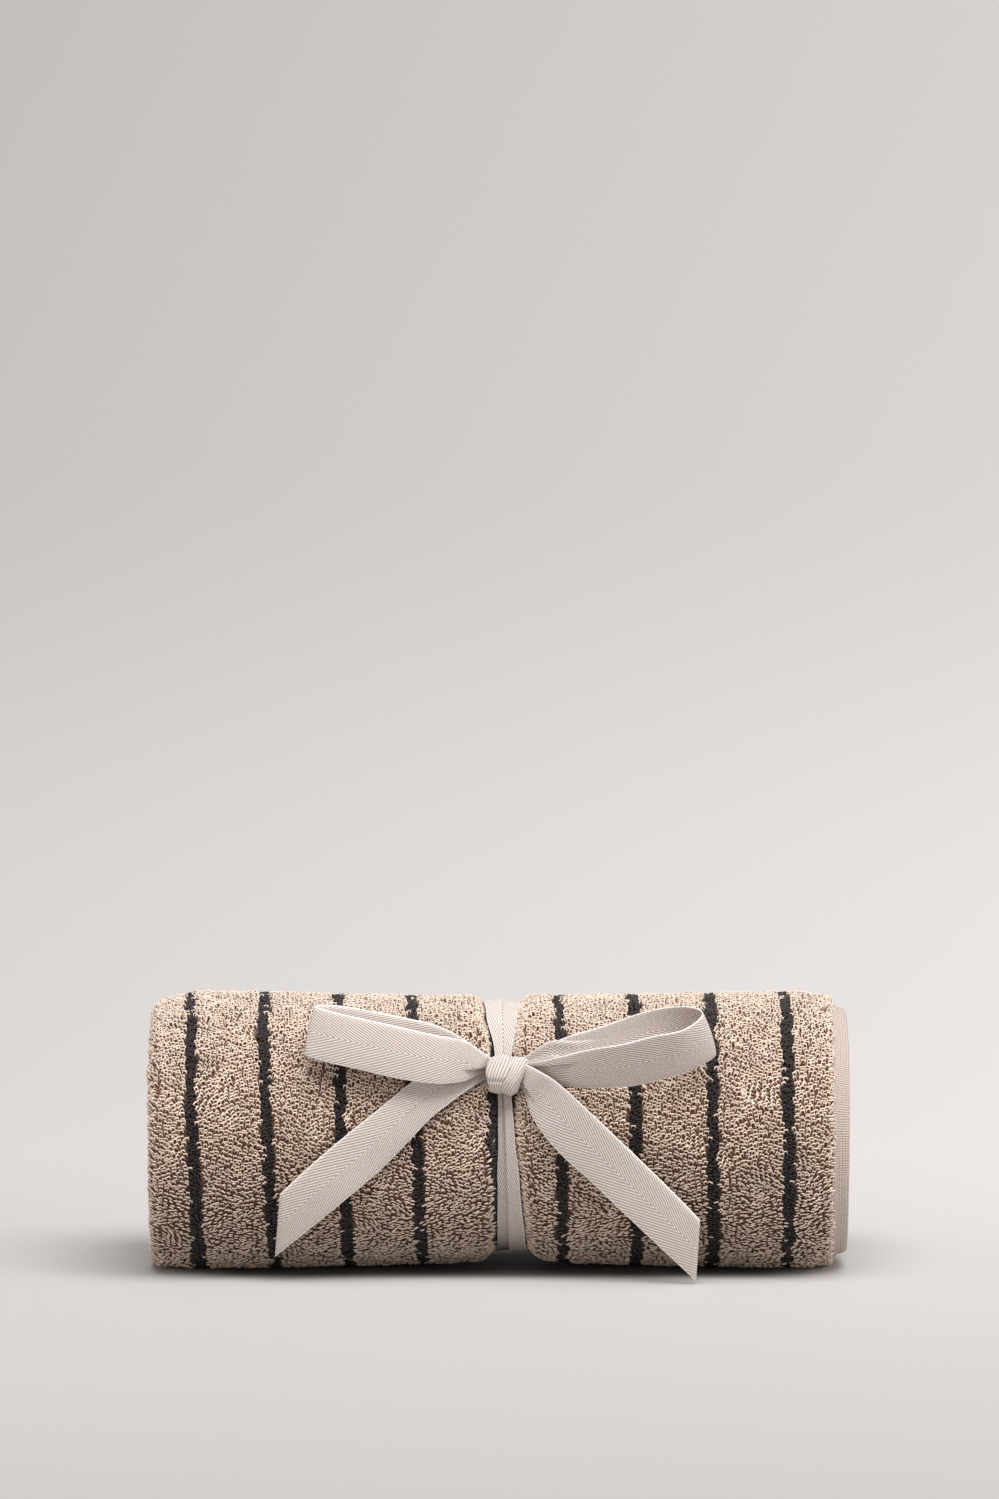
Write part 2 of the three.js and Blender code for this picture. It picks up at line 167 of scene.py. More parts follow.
@dataclass(frozen=True)
class RollForm:
    """The towel's wound form: a double layer on a spiral, drawn in at its ends and under the tape."""

    fold_end: float = -111.0
    hem_end: float = 111.5
    axis_height: float = 40.5
    lap_angle: float = 575.0
    first_angle: float = -901.0
    lap_radius: float = 49.8
    layer: float = 8.8
    floor_press: float = 0.43
    knot_angle: float = 32.0
    knot_x: float = 3.3
    fold_taper: tuple[float, float, float] = (5.0, 19.0, 1.8)
    hem_taper: tuple[float, float, float] = (4.0, 16.0, 1.6)
    waist: Pair = (2.2, 50.0)
    groove_depth: float = 4.15
    groove_wall: float = 2.2
    dimple: Pair = (2.4, 9.0)
    band: tuple[Pair, ...] = (
        (-180, 8.0), (-90, 6.5), (-53, 4.4), (-15, 3.5), (5, 2.6), (25, 2.1),
        (45, 2.7), (70, 4.9), (95, 5.9), (130, 7.5), (180, 8.0),
    )  # fmt: skip

    def spiral(self, angle: Array) -> Array:
        """Outer radius of the layer: the lap's radius less one layer for each turn back from the lap."""
        return self.lap_radius - self.layer * (self.lap_angle - angle) / TURN

    def outermost(self, angle: Array) -> Array:
        """The same direction on the outermost turn."""
        return self.lap_angle - TURN + np.mod(angle - self.lap_angle, TURN)

    def band_middle(self, angle: Array) -> Array:
        """Where the tape's middle crosses the roll: it sways with the sine of the angle."""
        return 3.0 - 1.7 * np.sin(np.radians(angle))

    def front_angle(self, angle: Array) -> Array:
        """The angle counted from the front, from -180 to 180."""
        return np.mod(angle + 180.0, TURN) - 180.0

    def band_half(self, angle: Array) -> Array:
        """Half the width of the tape as it lies round the roll."""
        return eased(self.front_angle(angle), self.band)

    def groove_half(self, angle: Array) -> Array:
        """Half the waist's groove: the tape, a wall of cloth, and a bell-shaped dimple at the knot."""
        dimple = self.dimple[0] * bell(self.front_angle(angle) - self.knot_angle, self.dimple[1])
        return self.band_half(angle) + self.groove_wall + dimple

    def squeeze(self, x: Array, angle: Array) -> Array:
        """How far the skin is pressed towards the axis.

        The ends taper as powers of the distance from them, the waist is a broad bell with a flat-bottomed
        groove in it, and two sines make the cloth uneven.

        Args:
            x, angle: Places along the roll, and winding angles.

        Returns:
            The depth at each place.
        """
        from_tape = x - self.band_middle(angle)
        upper = np.sin(np.radians(angle))
        deep, reach, power = self.fold_taper
        left = deep * (0.65 + 0.35 * upper) * np.clip(1 - (x - self.fold_end) / reach, 0, None) ** power
        deep, reach, power = self.hem_taper
        right = deep * np.clip(1 - (self.hem_end - x) / reach, 0, None) ** power
        waist = self.waist[0] * bell(from_tape, self.waist[1])
        groove = self.groove_depth * bell(from_tape, self.groove_half(angle), 5)
        waves = 0.35 * np.sin(x / 17.0 + 1.1) * np.sin(np.radians(2 * angle) + 0.4)
        return left + right + waist + groove + waves

    def axis_at(self, x: Array, angle: Array) -> Array:
        """Height of the axis: two bells where the tape lifts the waist off the surface."""
        from_tape = x - self.band_middle(angle)
        return self.axis_height + 1.1 * bell(from_tape, 12.0) + 0.5 * bell(from_tape, self.waist[1])

    def skin(self, x: Array, angle: Array) -> Array:
        """Radius of the roll's skin: the outermost spiral less the squeeze."""
        return self.spiral(self.outermost(angle)) - self.squeeze(x, angle)

    def polar(self, x: Array, angle: Array, radius: Array, least: Array | float = 0.0) -> Array:
        """Points at a radius about the axis, held above the surface where the roll's weight flattens it.

        Args:
            x, angle: Places along the roll, and winding angles.
            radius: Distances from the axis.
            least: The least height of each point.

        Returns:
            Points, with X, Y and Z in the last place.
        """
        turned = np.radians(angle)
        z = self.axis_at(x, angle) + radius * np.sin(turned)
        x, y, z, least = np.broadcast_arrays(x, -radius * np.cos(turned), z, least)
        return np.stack([x, y, np.maximum(z, least)], -1)

    def wound(self, x: Array, angle: Array, depth: Array | float) -> Array:
        """Points of the wound layer: the spiral less a depth, scaled as its direction's skin is pressed."""
        radius = (self.spiral(angle) - depth) * (self.skin(x, angle) / self.spiral(self.outermost(angle)))
        return self.polar(x, angle, radius, self.floor_press * np.asarray(depth))

    def tangents(self, x: Array, angle: Array, depth: float, step: float = 0.4) -> tuple[Array, Array, Array]:
        """Unit vectors on the wound layer, from differences over a small step.

        Args:
            x, angle: Places along the roll, and winding angles.
            depth: How far below the layer's outer face.
            step: The step, in millimetres and in degrees.

        Returns:
            The vectors along the roll, along the winding, and outwards.
        """
        along_roll = unit(self.wound(x + step, angle, depth) - self.wound(x - step, angle, depth))
        winding = unit(self.wound(x, angle + step, depth) - self.wound(x, angle - step, depth))
        outwards = unit(np.cross(along_roll, winding))
        return along_roll, unit(np.cross(outwards, along_roll)), outwards

    def angles_along(self, start: float, end: float, pitch: float, depth: float) -> Array:
        """Angles a fixed length of cloth apart.

        Args:
            start, end: The first and last angles.
            pitch: Length of cloth between two of them.
            depth: How far below the outer face that length is measured.

        Returns:
            The angles.
        """
        fine = np.arange(start, end, 0.5)
        length = travelled(np.radians(0.5) * (self.spiral(fine[:-1]) - depth))
        return np.interp(np.arange(0.0, length[-1], pitch), length, fine)


@dataclass
class Shape:
    """The points, faces and maps of one mesh while it is put together."""

    points: Array
    faces: Array
    maps: dict[str, Array] = field(default_factory=dict)

    def joined(self, other: Shape) -> Shape:
        """Put another shape's points and faces after this one's.

        Args:
            other: A shape with as many corners to a face, and the same maps.

        Returns:
            Both as one shape.
        """
        maps = {name: np.concatenate([values, other.maps[name]]) for name, values in self.maps.items()}
        faces = np.concatenate([self.faces, other.faces + len(self.points)])
        return Shape(np.concatenate([self.points, other.points]), faces, maps)

    def as_object(self, name: str, shift: Array, material: Material) -> Object:
        """Write the shape into a mesh object at the origin.

        Args:
            name: The piece's name.
            shift: From the roll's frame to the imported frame, in millimetres.
            material: The piece's finish.

        Returns:
            The object, linked to the scene.
        """
        starts = np.arange(0, self.faces.size, self.faces.shape[1], dtype=np.int32)
        mesh = bpy.data.meshes.new(name)
        mesh.vertices.add(len(self.points))
        mesh.vertices.foreach_set("co", ((self.points + shift) * MM).astype(np.float32).ravel())
        mesh.loops.add(self.faces.size)
        mesh.loops.foreach_set("vertex_index", self.faces.astype(np.int32).ravel())
        mesh.polygons.add(len(self.faces))
        mesh.polygons.foreach_set("loop_start", starts)
        mesh.polygons.foreach_set("use_smooth", np.ones(len(self.faces), bool))
        mesh.update(calc_edges=True)
        for title, values in self.maps.items():
            mesh.uv_layers.new(name=title).uv.foreach_set("vector", values.astype(np.float32).ravel())
        mesh.validate()
        mesh.materials.append(material)
        piece = bpy.data.objects.new(name, mesh)
        bpy.context.scene.collection.objects.link(piece)
        return piece


@dataclass(frozen=True)
class Tile:
    """A rectangle of the bake's map that one side of a sheet takes."""

    left: float
    low: float
    right: float
    high: float

    def place(self, rows: int, columns: int) -> Array:
        """Spread a grid evenly over the rectangle: rows from left to right, columns from low to high."""
        across, up = np.linspace(self.left, self.right, rows), np.linspace(self.low, self.high, columns)
        return stacked(across[:, None], up[None, :])


def sheet_shell(middle: Array, half: Array, pattern: Array, tiles: tuple[Tile, Tile], title: str) -> Shape:
    """Give a sheet its thickness and close it along its four edges.

    The outer face is the middle grid plus half the thickness along its normal, which is the cross product of
    the differences along rows and along columns, and the inner face is the middle less the same.

    Args:
        middle: The sheet's middle, as a grid of points.
        half: Half the thickness at each of them.
        pattern: The pattern's map at each of them.
        tiles: Where the outer and the inner face lie on the bake's map.
        title: The pattern map's name.

    Returns:
        The closed shape.
    """
    rows, columns = middle.shape[:2]
    normal = unit(np.cross(np.gradient(middle, axis=0), np.gradient(middle, axis=1)))
    outer, inner = middle + normal * half[..., None], middle - normal * half[..., None]
    count = rows * columns
    index, face = grid_faces(rows, columns)
    rim = np.concatenate([index[:-1, 0], index[-1, :-1], index[:0:-1, -1], index[0, :0:-1]])
    onward = np.roll(rim, -1)
    wall = np.stack([onward, rim, rim + count, onward + count], -1)

    away = np.zeros((rows, columns, 2))
    for end, push in ((0, -BAKE_EDGE), (-1, BAKE_EDGE)):
        away[:, end, 1] += push
        away[end, :, 0] += push
    bake_outer, bake_inner = (tile.place(rows, columns).reshape(-1, 2) for tile in tiles)
    pushed = bake_outer + away.reshape(-1, 2)
    bake_wall = np.stack([bake_outer[onward], bake_outer[rim], pushed[rim], pushed[onward]], 1)
    bake = np.concatenate([bake_outer[face], bake_inner[face[:, ::-1]], bake_wall])
    flat = pattern.reshape(-1, 2)
    worn = np.concatenate([flat[face], flat[face[:, ::-1]], flat[np.stack([onward, rim, rim, onward], -1)]])
    points = np.concatenate([outer.reshape(-1, 3), inner.reshape(-1, 3)])
    faces = np.concatenate([face, face[:, ::-1] + count, wall])
    return Shape(points, faces, {title: worn.reshape(-1, 2), BAKE_MAP: bake.reshape(-1, 2)})


class NodeTable:
    """Places and joins shader nodes in one tree."""

    def __init__(self, tree: bpy.types.NodeTree) -> None:
        """Keep the tree that the nodes go into."""
        self.tree = tree

    def add(self, kind: str, inputs: dict | None = None, **settings: object) -> bpy.types.Node:
        """Add a node.

        Args:
            kind: The node's type.
            inputs: Sockets or values for its inputs, by name or place.
            **settings: Its properties.

        Returns:
            The node.
        """
        node = self.tree.nodes.new(kind)
        for name, value in settings.items():
            setattr(node, name, value)
        for name, value in (inputs or {}).items():
            self.feed(node.inputs[name], value)
        return node

    def feed(self, socket: Socket, value: object) -> None:
        """Join a socket to another, or set its value.

        Args:
            socket: The socket.
            value: Another socket, or a number or a colour.
        """
        if isinstance(value, Socket):
            self.tree.links.new(value, socket)
        else:
            socket.default_value = value

    def maths(self, operation: str, *values: object) -> Socket:
        """Work out one operation on up to three sockets or numbers."""
        return self.add("ShaderNodeMath", dict(enumerate(values)), operation=operation).outputs[0]

    def times(self, first: object, second: object) -> Socket:
        """Multiply two sockets or numbers."""
        return self.maths("MULTIPLY", first, second)

    def parts(self, vector: Socket) -> tuple[Socket, Socket, Socket]:
        """Split a vector into X, Y and Z."""
        return tuple(self.add("ShaderNodeSeparateXYZ", {0: vector}).outputs)

    def map_of(self, title: str) -> Socket:
        """Places on one of the piece's own UV maps."""
        return self.add("ShaderNodeUVMap", uv_map=title).outputs[0]

    def mixed(self, share: Socket, first: object, second: object) -> Socket:
        """Mix two colours by the share of the second."""
        return self.add("ShaderNodeMix", {0: share, 6: first, 7: second}, data_type="RGBA").outputs[2]

    def noise(self, vector: Socket, scale: float, detail: float = 2.0) -> Socket:
        """Noise at a scale, with so many finer octaves."""
        inputs = {"Vector": vector, "Scale": scale, "Detail": detail}
        return self.add("ShaderNodeTexNoise", inputs).outputs["Fac"]

    def band(self, value: Socket, low: float, high: float, kind: str = "SMOOTHSTEP") -> Socket:
        """Ease a value from 0 at one place to 1 at another, or take it straight there."""
        ends = {"Value": value, "From Min": low, "From Max": high}
        return self.add("ShaderNodeMapRange", ends, interpolation_type=kind).outputs["Result"]

    def scaled(self, colour: object, by: Socket) -> Socket:
        """Scale a colour."""
        return self.add("ShaderNodeVectorMath", {0: colour, "Scale": by}, operation="SCALE").outputs[0]

    def bump(self, height: Socket, relief: float) -> Socket:
        """The normal of a relief of so many millimetres."""
        return self.add("ShaderNodeBump", {"Distance": relief * MM, "Height": height}).outputs[0]


def new_group(name: str, inputs: dict[str, str], outputs: dict[str, str]) -> tuple[NodeTable, dict, dict]:
    """Start a shader node group.

    Args:
        name: The group's name.
        inputs, outputs: Each socket's name and kind.

    Returns:
        The table of its nodes, its input sockets and its output sockets by name.
    """
    tree = bpy.data.node_groups.new(name, "ShaderNodeTree")
    for way, sockets in (("INPUT", inputs), ("OUTPUT", outputs)):
        for title, kind in sockets.items():
            tree.interface.new_socket(title, in_out=way, socket_type=f"NodeSocket{kind}")
    table = NodeTable(tree)
    taken, given = table.add("NodeGroupInput").outputs, table.add("NodeGroupOutput").inputs
    return table, {s.name: s for s in taken}, {s.name: s for s in given}


def new_material(name: str, rough: float, sheen: float, soaked: float) -> tuple[Material, NodeTable, Inputs]:
    """Start a cloth material.

    Args:
        name: The material's name.
        rough, sheen: Its roughness, and its sheen's weight.
        soaked: How much of the light goes through the fibres, which warms it.

    Returns:
        The material, the table of its nodes, and its Principled node's inputs.
    """
    material = bpy.data.materials.new(name)
    material.use_nodes = True
    inputs = material.node_tree.nodes["Principled BSDF"].inputs
    own = {"Roughness": rough, "Sheen Weight": sheen, "Subsurface Weight": soaked, "Subsurface Scale": MM}
    cotton = {"Specular IOR Level": 0.25, "Sheen Roughness": 0.5, "Subsurface Radius": (1.0, 0.72, 0.52)}
    for title, value in (own | cotton).items():
        inputs[title].default_value = value
    return material, NodeTable(material.node_tree), inputs


def rgba(colour: Colour) -> tuple[float, float, float, float]:
    """Add an alpha of 1 to a colour."""
    return (*colour, 1.0)


@dataclass(frozen=True)
class YarnFinish:
    """The finish of the terry's loops: painted shade darkens them towards their roots in the pile's depth,
    and they are pale and fuzzy at their crowns.
    """

    name: str
    # The root colour is painted shade: darker and browner than the crown, for the shade deep in the pile.
    root: Colour
    crown: Colour
    sheen: float
    soaked: float
    tint: float = 0.35

    @staticmethod
    def shade() -> bpy.types.NodeTree:
        """Make or find the group that colours a yarn by its height, with painted shade towards the root, and
        by the loop's own tint.

        Returns:
            The group: U of the yarn's map is a loop's tint, V its height from root to crown.
        """
        found = bpy.data.node_groups.get("yarn_shade")
        if found:
            return found
        inputs = {"Place": "Vector", "PaintedShadeRoot": "Color", "Crown": "Color", "Tint": "Float"}
        table, taken, given = new_group("yarn_shade", inputs, {"Color": "Color"})
        own, height, _ = table.parts(taken["Place"])
        # Painted shade: the colour runs from the dark root to the pale crown along the yarn's height.
        colour = table.mixed(table.band(height, 0.1, 0.95), taken["PaintedShadeRoot"], taken["Crown"])
        brightness = table.maths("MULTIPLY_ADD", table.maths("SUBTRACT", own, 0.5), taken["Tint"], 1.0)
        table.feed(given["Color"], table.scaled(colour, brightness))
        return table.tree

    def material(self) -> Material:
        """Build the material.

        Returns:
            The material, which reads only the yarn's own map.
        """
        material, table, shader = new_material(self.name, 0.92, self.sheen, self.soaked)
        yarn = {"PaintedShadeRoot": rgba(self.root), "Crown": rgba(self.crown), "Tint": self.tint}
        place = {"Place": table.map_of(BAKE_MAP)}
        shaded = table.add("ShaderNodeGroup", yarn | place, node_tree=self.shade())
        table.feed(shader["Base Color"], shaded.outputs["Color"])
        return material


@dataclass(frozen=True)
class GroundFinish:
    """The finish of the towel's ground cloth: dark stripes, ribbed plain hems and headers, and a dark brown
    painted shade on the ground under the pile.
    """

    # Painted shade: the ground between the loops is coloured dark brown for the shade among them, not the
    # cloth's own sand colour.
    painted_shade_under_pile: Colour = (0.20, 0.095, 0.045)
    stripe: Colour = (0.02, 0.018, 0.018)
    hem: Colour = (0.66, 0.575, 0.51)
    rib: float = 0.9
    pick: float = 0.8
    relief: float = 0.15
    pattern_map: str = "cloth"

    def material(self, towel: TowelCloth) -> Material:
        """Build the material.

        Args:
            towel: The cloth whose sizes the pattern follows.

        Returns:
            The material, which reads the cloth's own map: U across the flat towel, V along it.
        """
        material, table, shader = new_material("towel_ground", 0.95, 0.15, 0.0)
        flat = table.map_of(self.pattern_map)
        u, v, _ = table.parts(flat)
        across = table.times(table.maths("SUBTRACT", u, 0.5), towel.width)
        along = table.times(v, towel.length)
        from_stripe = table.maths("SUBTRACT", across, towel.first_stripe)
        nearest = table.maths("PINGPONG", from_stripe, towel.stripe_pitch / 2)
        in_stripe = table.maths("LESS_THAN", nearest, towel.stripe_half)
        from_edge = table.maths("SUBTRACT", towel.width / 2, table.maths("ABSOLUTE", across))
        from_end = table.maths("PINGPONG", along, towel.length / 2)
        plain_side = table.maths("LESS_THAN", from_edge, towel.hem)
        plain = table.maths("MAXIMUM", plain_side, table.maths("LESS_THAN", from_end, towel.header))
        # The ground under the pile takes the painted shade; the stripes keep their own dark colour.
        ground = table.mixed(in_stripe, rgba(self.painted_shade_under_pile), rgba(self.stripe))
        hem = table.mixed(in_stripe, rgba(self.hem), rgba(self.stripe))
        # The plain hems are mottled at random with up to a third of the dark brown painted-shade colour.
        shaded = table.mixed(table.times(table.noise(flat, 900.0), 0.35), hem, rgba(self.painted_shade_under_pile))
        table.feed(shader["Base Color"], table.mixed(plain, ground, shaded))
        ribs = table.maths("SINE", table.times(from_edge, 2 * math.pi / self.rib))
        picks = table.maths("SINE", table.times(along, 2 * math.pi / self.pick))
        weave = table.maths("ADD", ribs, table.times(picks, 0.6))
        table.feed(shader["Normal"], table.bump(weave, self.relief))
        return material


@dataclass(frozen=True)
class TapeFinish:
    """The finish of the cotton tape: a herringbone with a middle spine, painted shade in its ribs' grooves,
    and pale selvedges with a painted highlight.
    """

    high: Colour = (0.745, 0.695, 0.665)
    # The low colour is painted shade: a warm brown laid in the twill's grooves, where the ribs' height is
    # least.
    low: Colour = (0.34, 0.255, 0.22)
    # The selvedge colour is a painted highlight: the raised edges are paler than the rest of the tape for the
    # light they catch.
    selvedge: Colour = (0.79, 0.75, 0.73)
    lines_a_width: float = 8.6
    soaked: float = 0.35
    relief: float = 0.09
    slope: float = 2.2
    pattern_map: str = "tape"

    @staticmethod
    def herringbone() -> bpy.types.NodeTree:
        """Make the group for a herringbone: a sine of the place along plus a slope times the place across.

        Returns:
            The group, which puts out the ribs' height and the selvedges' mask.
        """
        inputs = {"Place": "Vector", "Lines": "Float", "Slope": "Float"}
        table, taken, given = new_group("herringbone", inputs, {"Height": "Float", "Selvedge": "Float"})
        u, v, _ = table.parts(taken["Place"])
        from_spine = table.maths("ABSOLUTE", u)
        phase = table.times(table.maths("MULTIPLY_ADD", from_spine, taken["Slope"], v), taken["Lines"])
        wave = table.maths("SINE", table.times(phase, 2 * math.pi))
        table.feed(given["Height"], table.maths("MULTIPLY_ADD", wave, 0.5, 0.5))
        table.feed(given["Selvedge"], table.band(from_spine, 0.468, 0.482))
        return table.tree

    def material(self) -> Material:
        """Build the material.

        Returns:
            The material, which reads the tape's own map, in tape widths.
        """
        material, table, shader = new_material("herringbone_tape", 0.85, 0.0, self.soaked)
        place = table.map_of(self.pattern_map)
        values = {"Place": place, "Lines": self.lines_a_width, "Slope": self.slope}
        group = table.add("ShaderNodeGroup", values, node_tree=self.herringbone())
        height, selvedge = group.outputs["Height"], group.outputs["Selvedge"]
        slubs = table.times(table.noise(place, 14.0, 3.0), 0.3)
        # Painted shade in the grooves: the colour falls to the low one where the ribs are lowest.
        twill_painted_shade = table.mixed(height, rgba(self.low), rgba(self.high))
        worn = table.mixed(slubs, twill_painted_shade, rgba(self.high))
        # The selvedges take the pale painted highlight.
        table.feed(shader["Base Color"], table.mixed(selvedge, worn, rgba(self.selvedge)))
        table.feed(shader["Normal"], table.bump(table.maths("MAXIMUM", height, selvedge), self.relief))
        return material


@dataclass(frozen=True)
class StudioFinish:
    """The finish of the pale floor and backdrop, with painted light: a painted pool of light, painted falloff
    and a painted contact shadow.
    """

    colour: Colour = (0.553, 0.534, 0.524)
    # Painted light: a pool of light painted on the paper, paler to the right behind, and painted falloff that
    # dims it in front and up the backdrop.
    painted_light_aside: float = 0.24
    painted_dim_in_front: float = 0.42
    painted_dim_above: float = 0.12
    # A painted contact shadow: the paper darkens in a patch under the roll's footprint.
    painted_contact_shadow: float = 0.7

    def material(self) -> Material:
        """Build the material: paper with painted light, paler to the right behind and dimmer in front and
        above, with a painted contact shadow underneath.

        Returns:
            The material, which reads Object coordinates.
        """
        material, table, shader = new_material("studio_paper", 0.9, 0.0, 0.0)
        x, y, z = table.parts(table.add("ShaderNodeTexCoord").outputs["Object"])
        # The paper's colour carries painted light: paler to the right behind, dimmer in front and above.
        painted_light_aside = table.maths("MULTIPLY_ADD", table.band(x, -0.4, 0.4, "LINEAR"), self.painted_light_aside, -self.painted_light_aside / 2)
        behind = table.times(painted_light_aside, table.band(y, -0.25, 0.15))
        nearer = table.times(table.band(y, 0.28, -0.8, "LINEAR"), self.painted_dim_in_front)
        above = table.times(table.band(z, 0.02, 0.18), self.painted_dim_above)
        # Painted contact shadow: a patch under the roll, darkest beneath it.
        beside = table.band(table.maths("ABSOLUTE", x), 0.104, 0.08)
        beneath = table.band(table.maths("ABSOLUTE", y), 0.036, 0.02)
        painted_light_factor = table.maths("SUBTRACT", table.maths("SUBTRACT", behind, nearer), above)
        painted_light_factor = table.maths("SUBTRACT", painted_light_factor, table.times(table.times(beside, beneath), self.painted_contact_shadow))
        table.feed(shader["Base Color"], table.scaled(self.colour, table.maths("ADD", painted_light_factor, 1.0)))
        return material


@dataclass(frozen=True)
class TowelCloth:
    """The towel's ground cloth: folded in half across its width, then wound with its hems on the right."""

    form: RollForm
    length: float = 700.0
    ply_depths: Pair = (2.9, 6.3)
    hem_depths: Pair = (3.7, 5.9)
    terry_half: float = 1.2
    plain_half: float = 0.8
    hem: float = 5.7
    header: float = 12.0
    fold_radius: float = 1.7
    fold_x: float = -106.4
    hem_tips: Pair = (111.3, 110.9)
    stripe_pitch: float = 23.45
    stripe_half: float = 1.8
    middle_stripe: float = -1.95
    angle_step: float = 5.9

    @property
    def width(self) -> float:
        """Width of the flat towel: the length of the folded section's middle line."""
        x, depth, _, _ = self.section()
        return float(np.hypot(np.diff(x), np.diff(depth)).sum())

    @property
    def fold_depth(self) -> float:
        """Depth of the fold's own middle, halfway between the plies."""
        return sum(self.ply_depths) / 2

    @property
    def first_stripe(self) -> float:
        """Distance from the fold's crown along the outer ply to the first stripe."""
        return (self.middle_stripe - self.fold_x) % self.stripe_pitch + self.fold_radius * math.pi / 2

    def sway(self, x: Array, angle: Array) -> Array:
        """How far the cloth's lengthwise yarns stray along the roll.

        They lean with the sine of the angle, more on the left, and the waist draws those on its right in
        by a bell.

        Args:
            x, angle: Places along the roll with no sway, and winding angles.

        Returns:
            The shift along the roll.
        """
        room = np.clip((self.form.hem_end - 6 - np.abs(x)) / 12, 0, 1)
        lean = -(1.2 - 0.75 * np.tanh(x / 20)) * np.sin(np.radians(angle))
        tucked = 1.3 * bell(self.form.front_angle(angle) - 62, 26) * bell(x + 2, 7)
        return room * (lean - 1.6 * bell(x - 34, 30)) + tucked

    def end_wave(self, angle: Array) -> Array:
        """How far each turn's end stands back: three sines of the winding angle, between 0 and 0.8."""
        turned = np.radians(angle)
        return 0.4 + 0.13 * (np.sin(0.37 * turned + 1.3) + np.sin(0.9 * turned) + np.sin(2.3 * turned + 0.7))

    def section(self) -> tuple[Array, Array, Array, Array]:
        """Work out the folded cloth's middle line, from the outer hem round the fold to the inner hem.

        Returns:
            Places along the roll, depths, half thicknesses, and distances from the fold's crown along it.
        """
        near = np.array([0.0, 0.25, 0.9, 2.2, 3.4, 4.4, 5.6, 7.5])
        spans = ((100, 16, 11), (13, -8, 12), (-12, -104, 12))
        terry = np.concatenate([np.linspace(*span) for span in spans])
        sides = []
        for tip, ply, edge in zip(self.hem_tips, self.ply_depths, self.hem_depths):
            x = np.concatenate([tip - near, terry])
            depth = edge + (ply - edge) * smooth_step((tip - x - 3.0) / 5.0)
            plain = self.plain_half + (self.terry_half - self.plain_half) * smooth_step((tip - x - 3.5) / 1.5)
            sides.append(np.stack([x, depth, plain * rounded(tip - x, 0.9, 0.04)]))
        turned = np.radians(np.linspace(0, 180, 9))
        fold_x = self.fold_x - self.fold_radius * np.sin(turned)
        fold_depth = self.fold_depth - self.fold_radius * np.cos(turned)
        fold = np.stack([fold_x, fold_depth, np.full(turned.shape, self.terry_half)])
        x, depth, half = np.concatenate([sides[0], fold, sides[1][:, ::-1]], 1)
        passed = travelled(np.hypot(np.diff(x), np.diff(depth)))
        crown = passed[sides[0].shape[1] + len(turned) // 2]
        return x, depth, half, crown - passed

    def ground(self) -> Shape:
        """Wind the folded section along the spiral and close it as one cloth.

        Returns:
            The shape, with the cloth's map: U across the flat towel, V along it.
        """
        start, end = self.form.first_angle, self.form.lap_angle
        angle = np.linspace(start, end, round((end - start) / self.angle_step) + 1)[:, None]
        x, depth, half, across = (values[None, :] for values in self.section())
        drawn_in = self.end_wave(angle) * np.sign(x) * smooth_step((np.abs(x) - 80) / 24)
        middle = self.form.wound(x - drawn_in, angle, depth)
        radius = self.form.spiral(angle) - self.fold_depth
        stretch = travelled((radius[1:, 0] + radius[:-1, 0]) / 2)
        along = (stretch / stretch[-1])[:, None]
        to_end = np.minimum(along, 1 - along) * self.length
        thick = self.plain_half + (half - self.plain_half) * smooth_step((to_end - self.header + 2) / 2)
        thick = np.minimum(thick, half) * rounded(to_end, 1.2, 0.05)
        unswayed = across - np.sign(across) * self.sway(x, angle)
        pattern = stacked(unswayed / self.width + 0.5, along)
        tiles = (Tile(0.01, 0.01, 0.99, 0.49), Tile(0.01, 0.51, 0.99, 0.99))
        return sheet_shell(middle, thick, pattern, tiles, GroundFinish.pattern_map)


@dataclass(frozen=True)
class Feet:
    """Where loops stand: a point each, and the directions beside, along the nap and outwards."""

    points: Array
    beside: Array
    nap: Array
    outwards: Array
    across: Array
    along: Array

    def taken(self, mask: Array) -> Feet:
        """Keep the loops that a mask picks."""
        return Feet(*(getattr(self, name)[mask] for name in self.__dataclass_fields__))

    def and_more(self, *others: Feet) -> Feet:
        """Put the feet of other loops after these."""
        names = self.__dataclass_fields__
        return Feet(*(np.concatenate([getattr(feet, name) for feet in (self, *others)]) for name in names))


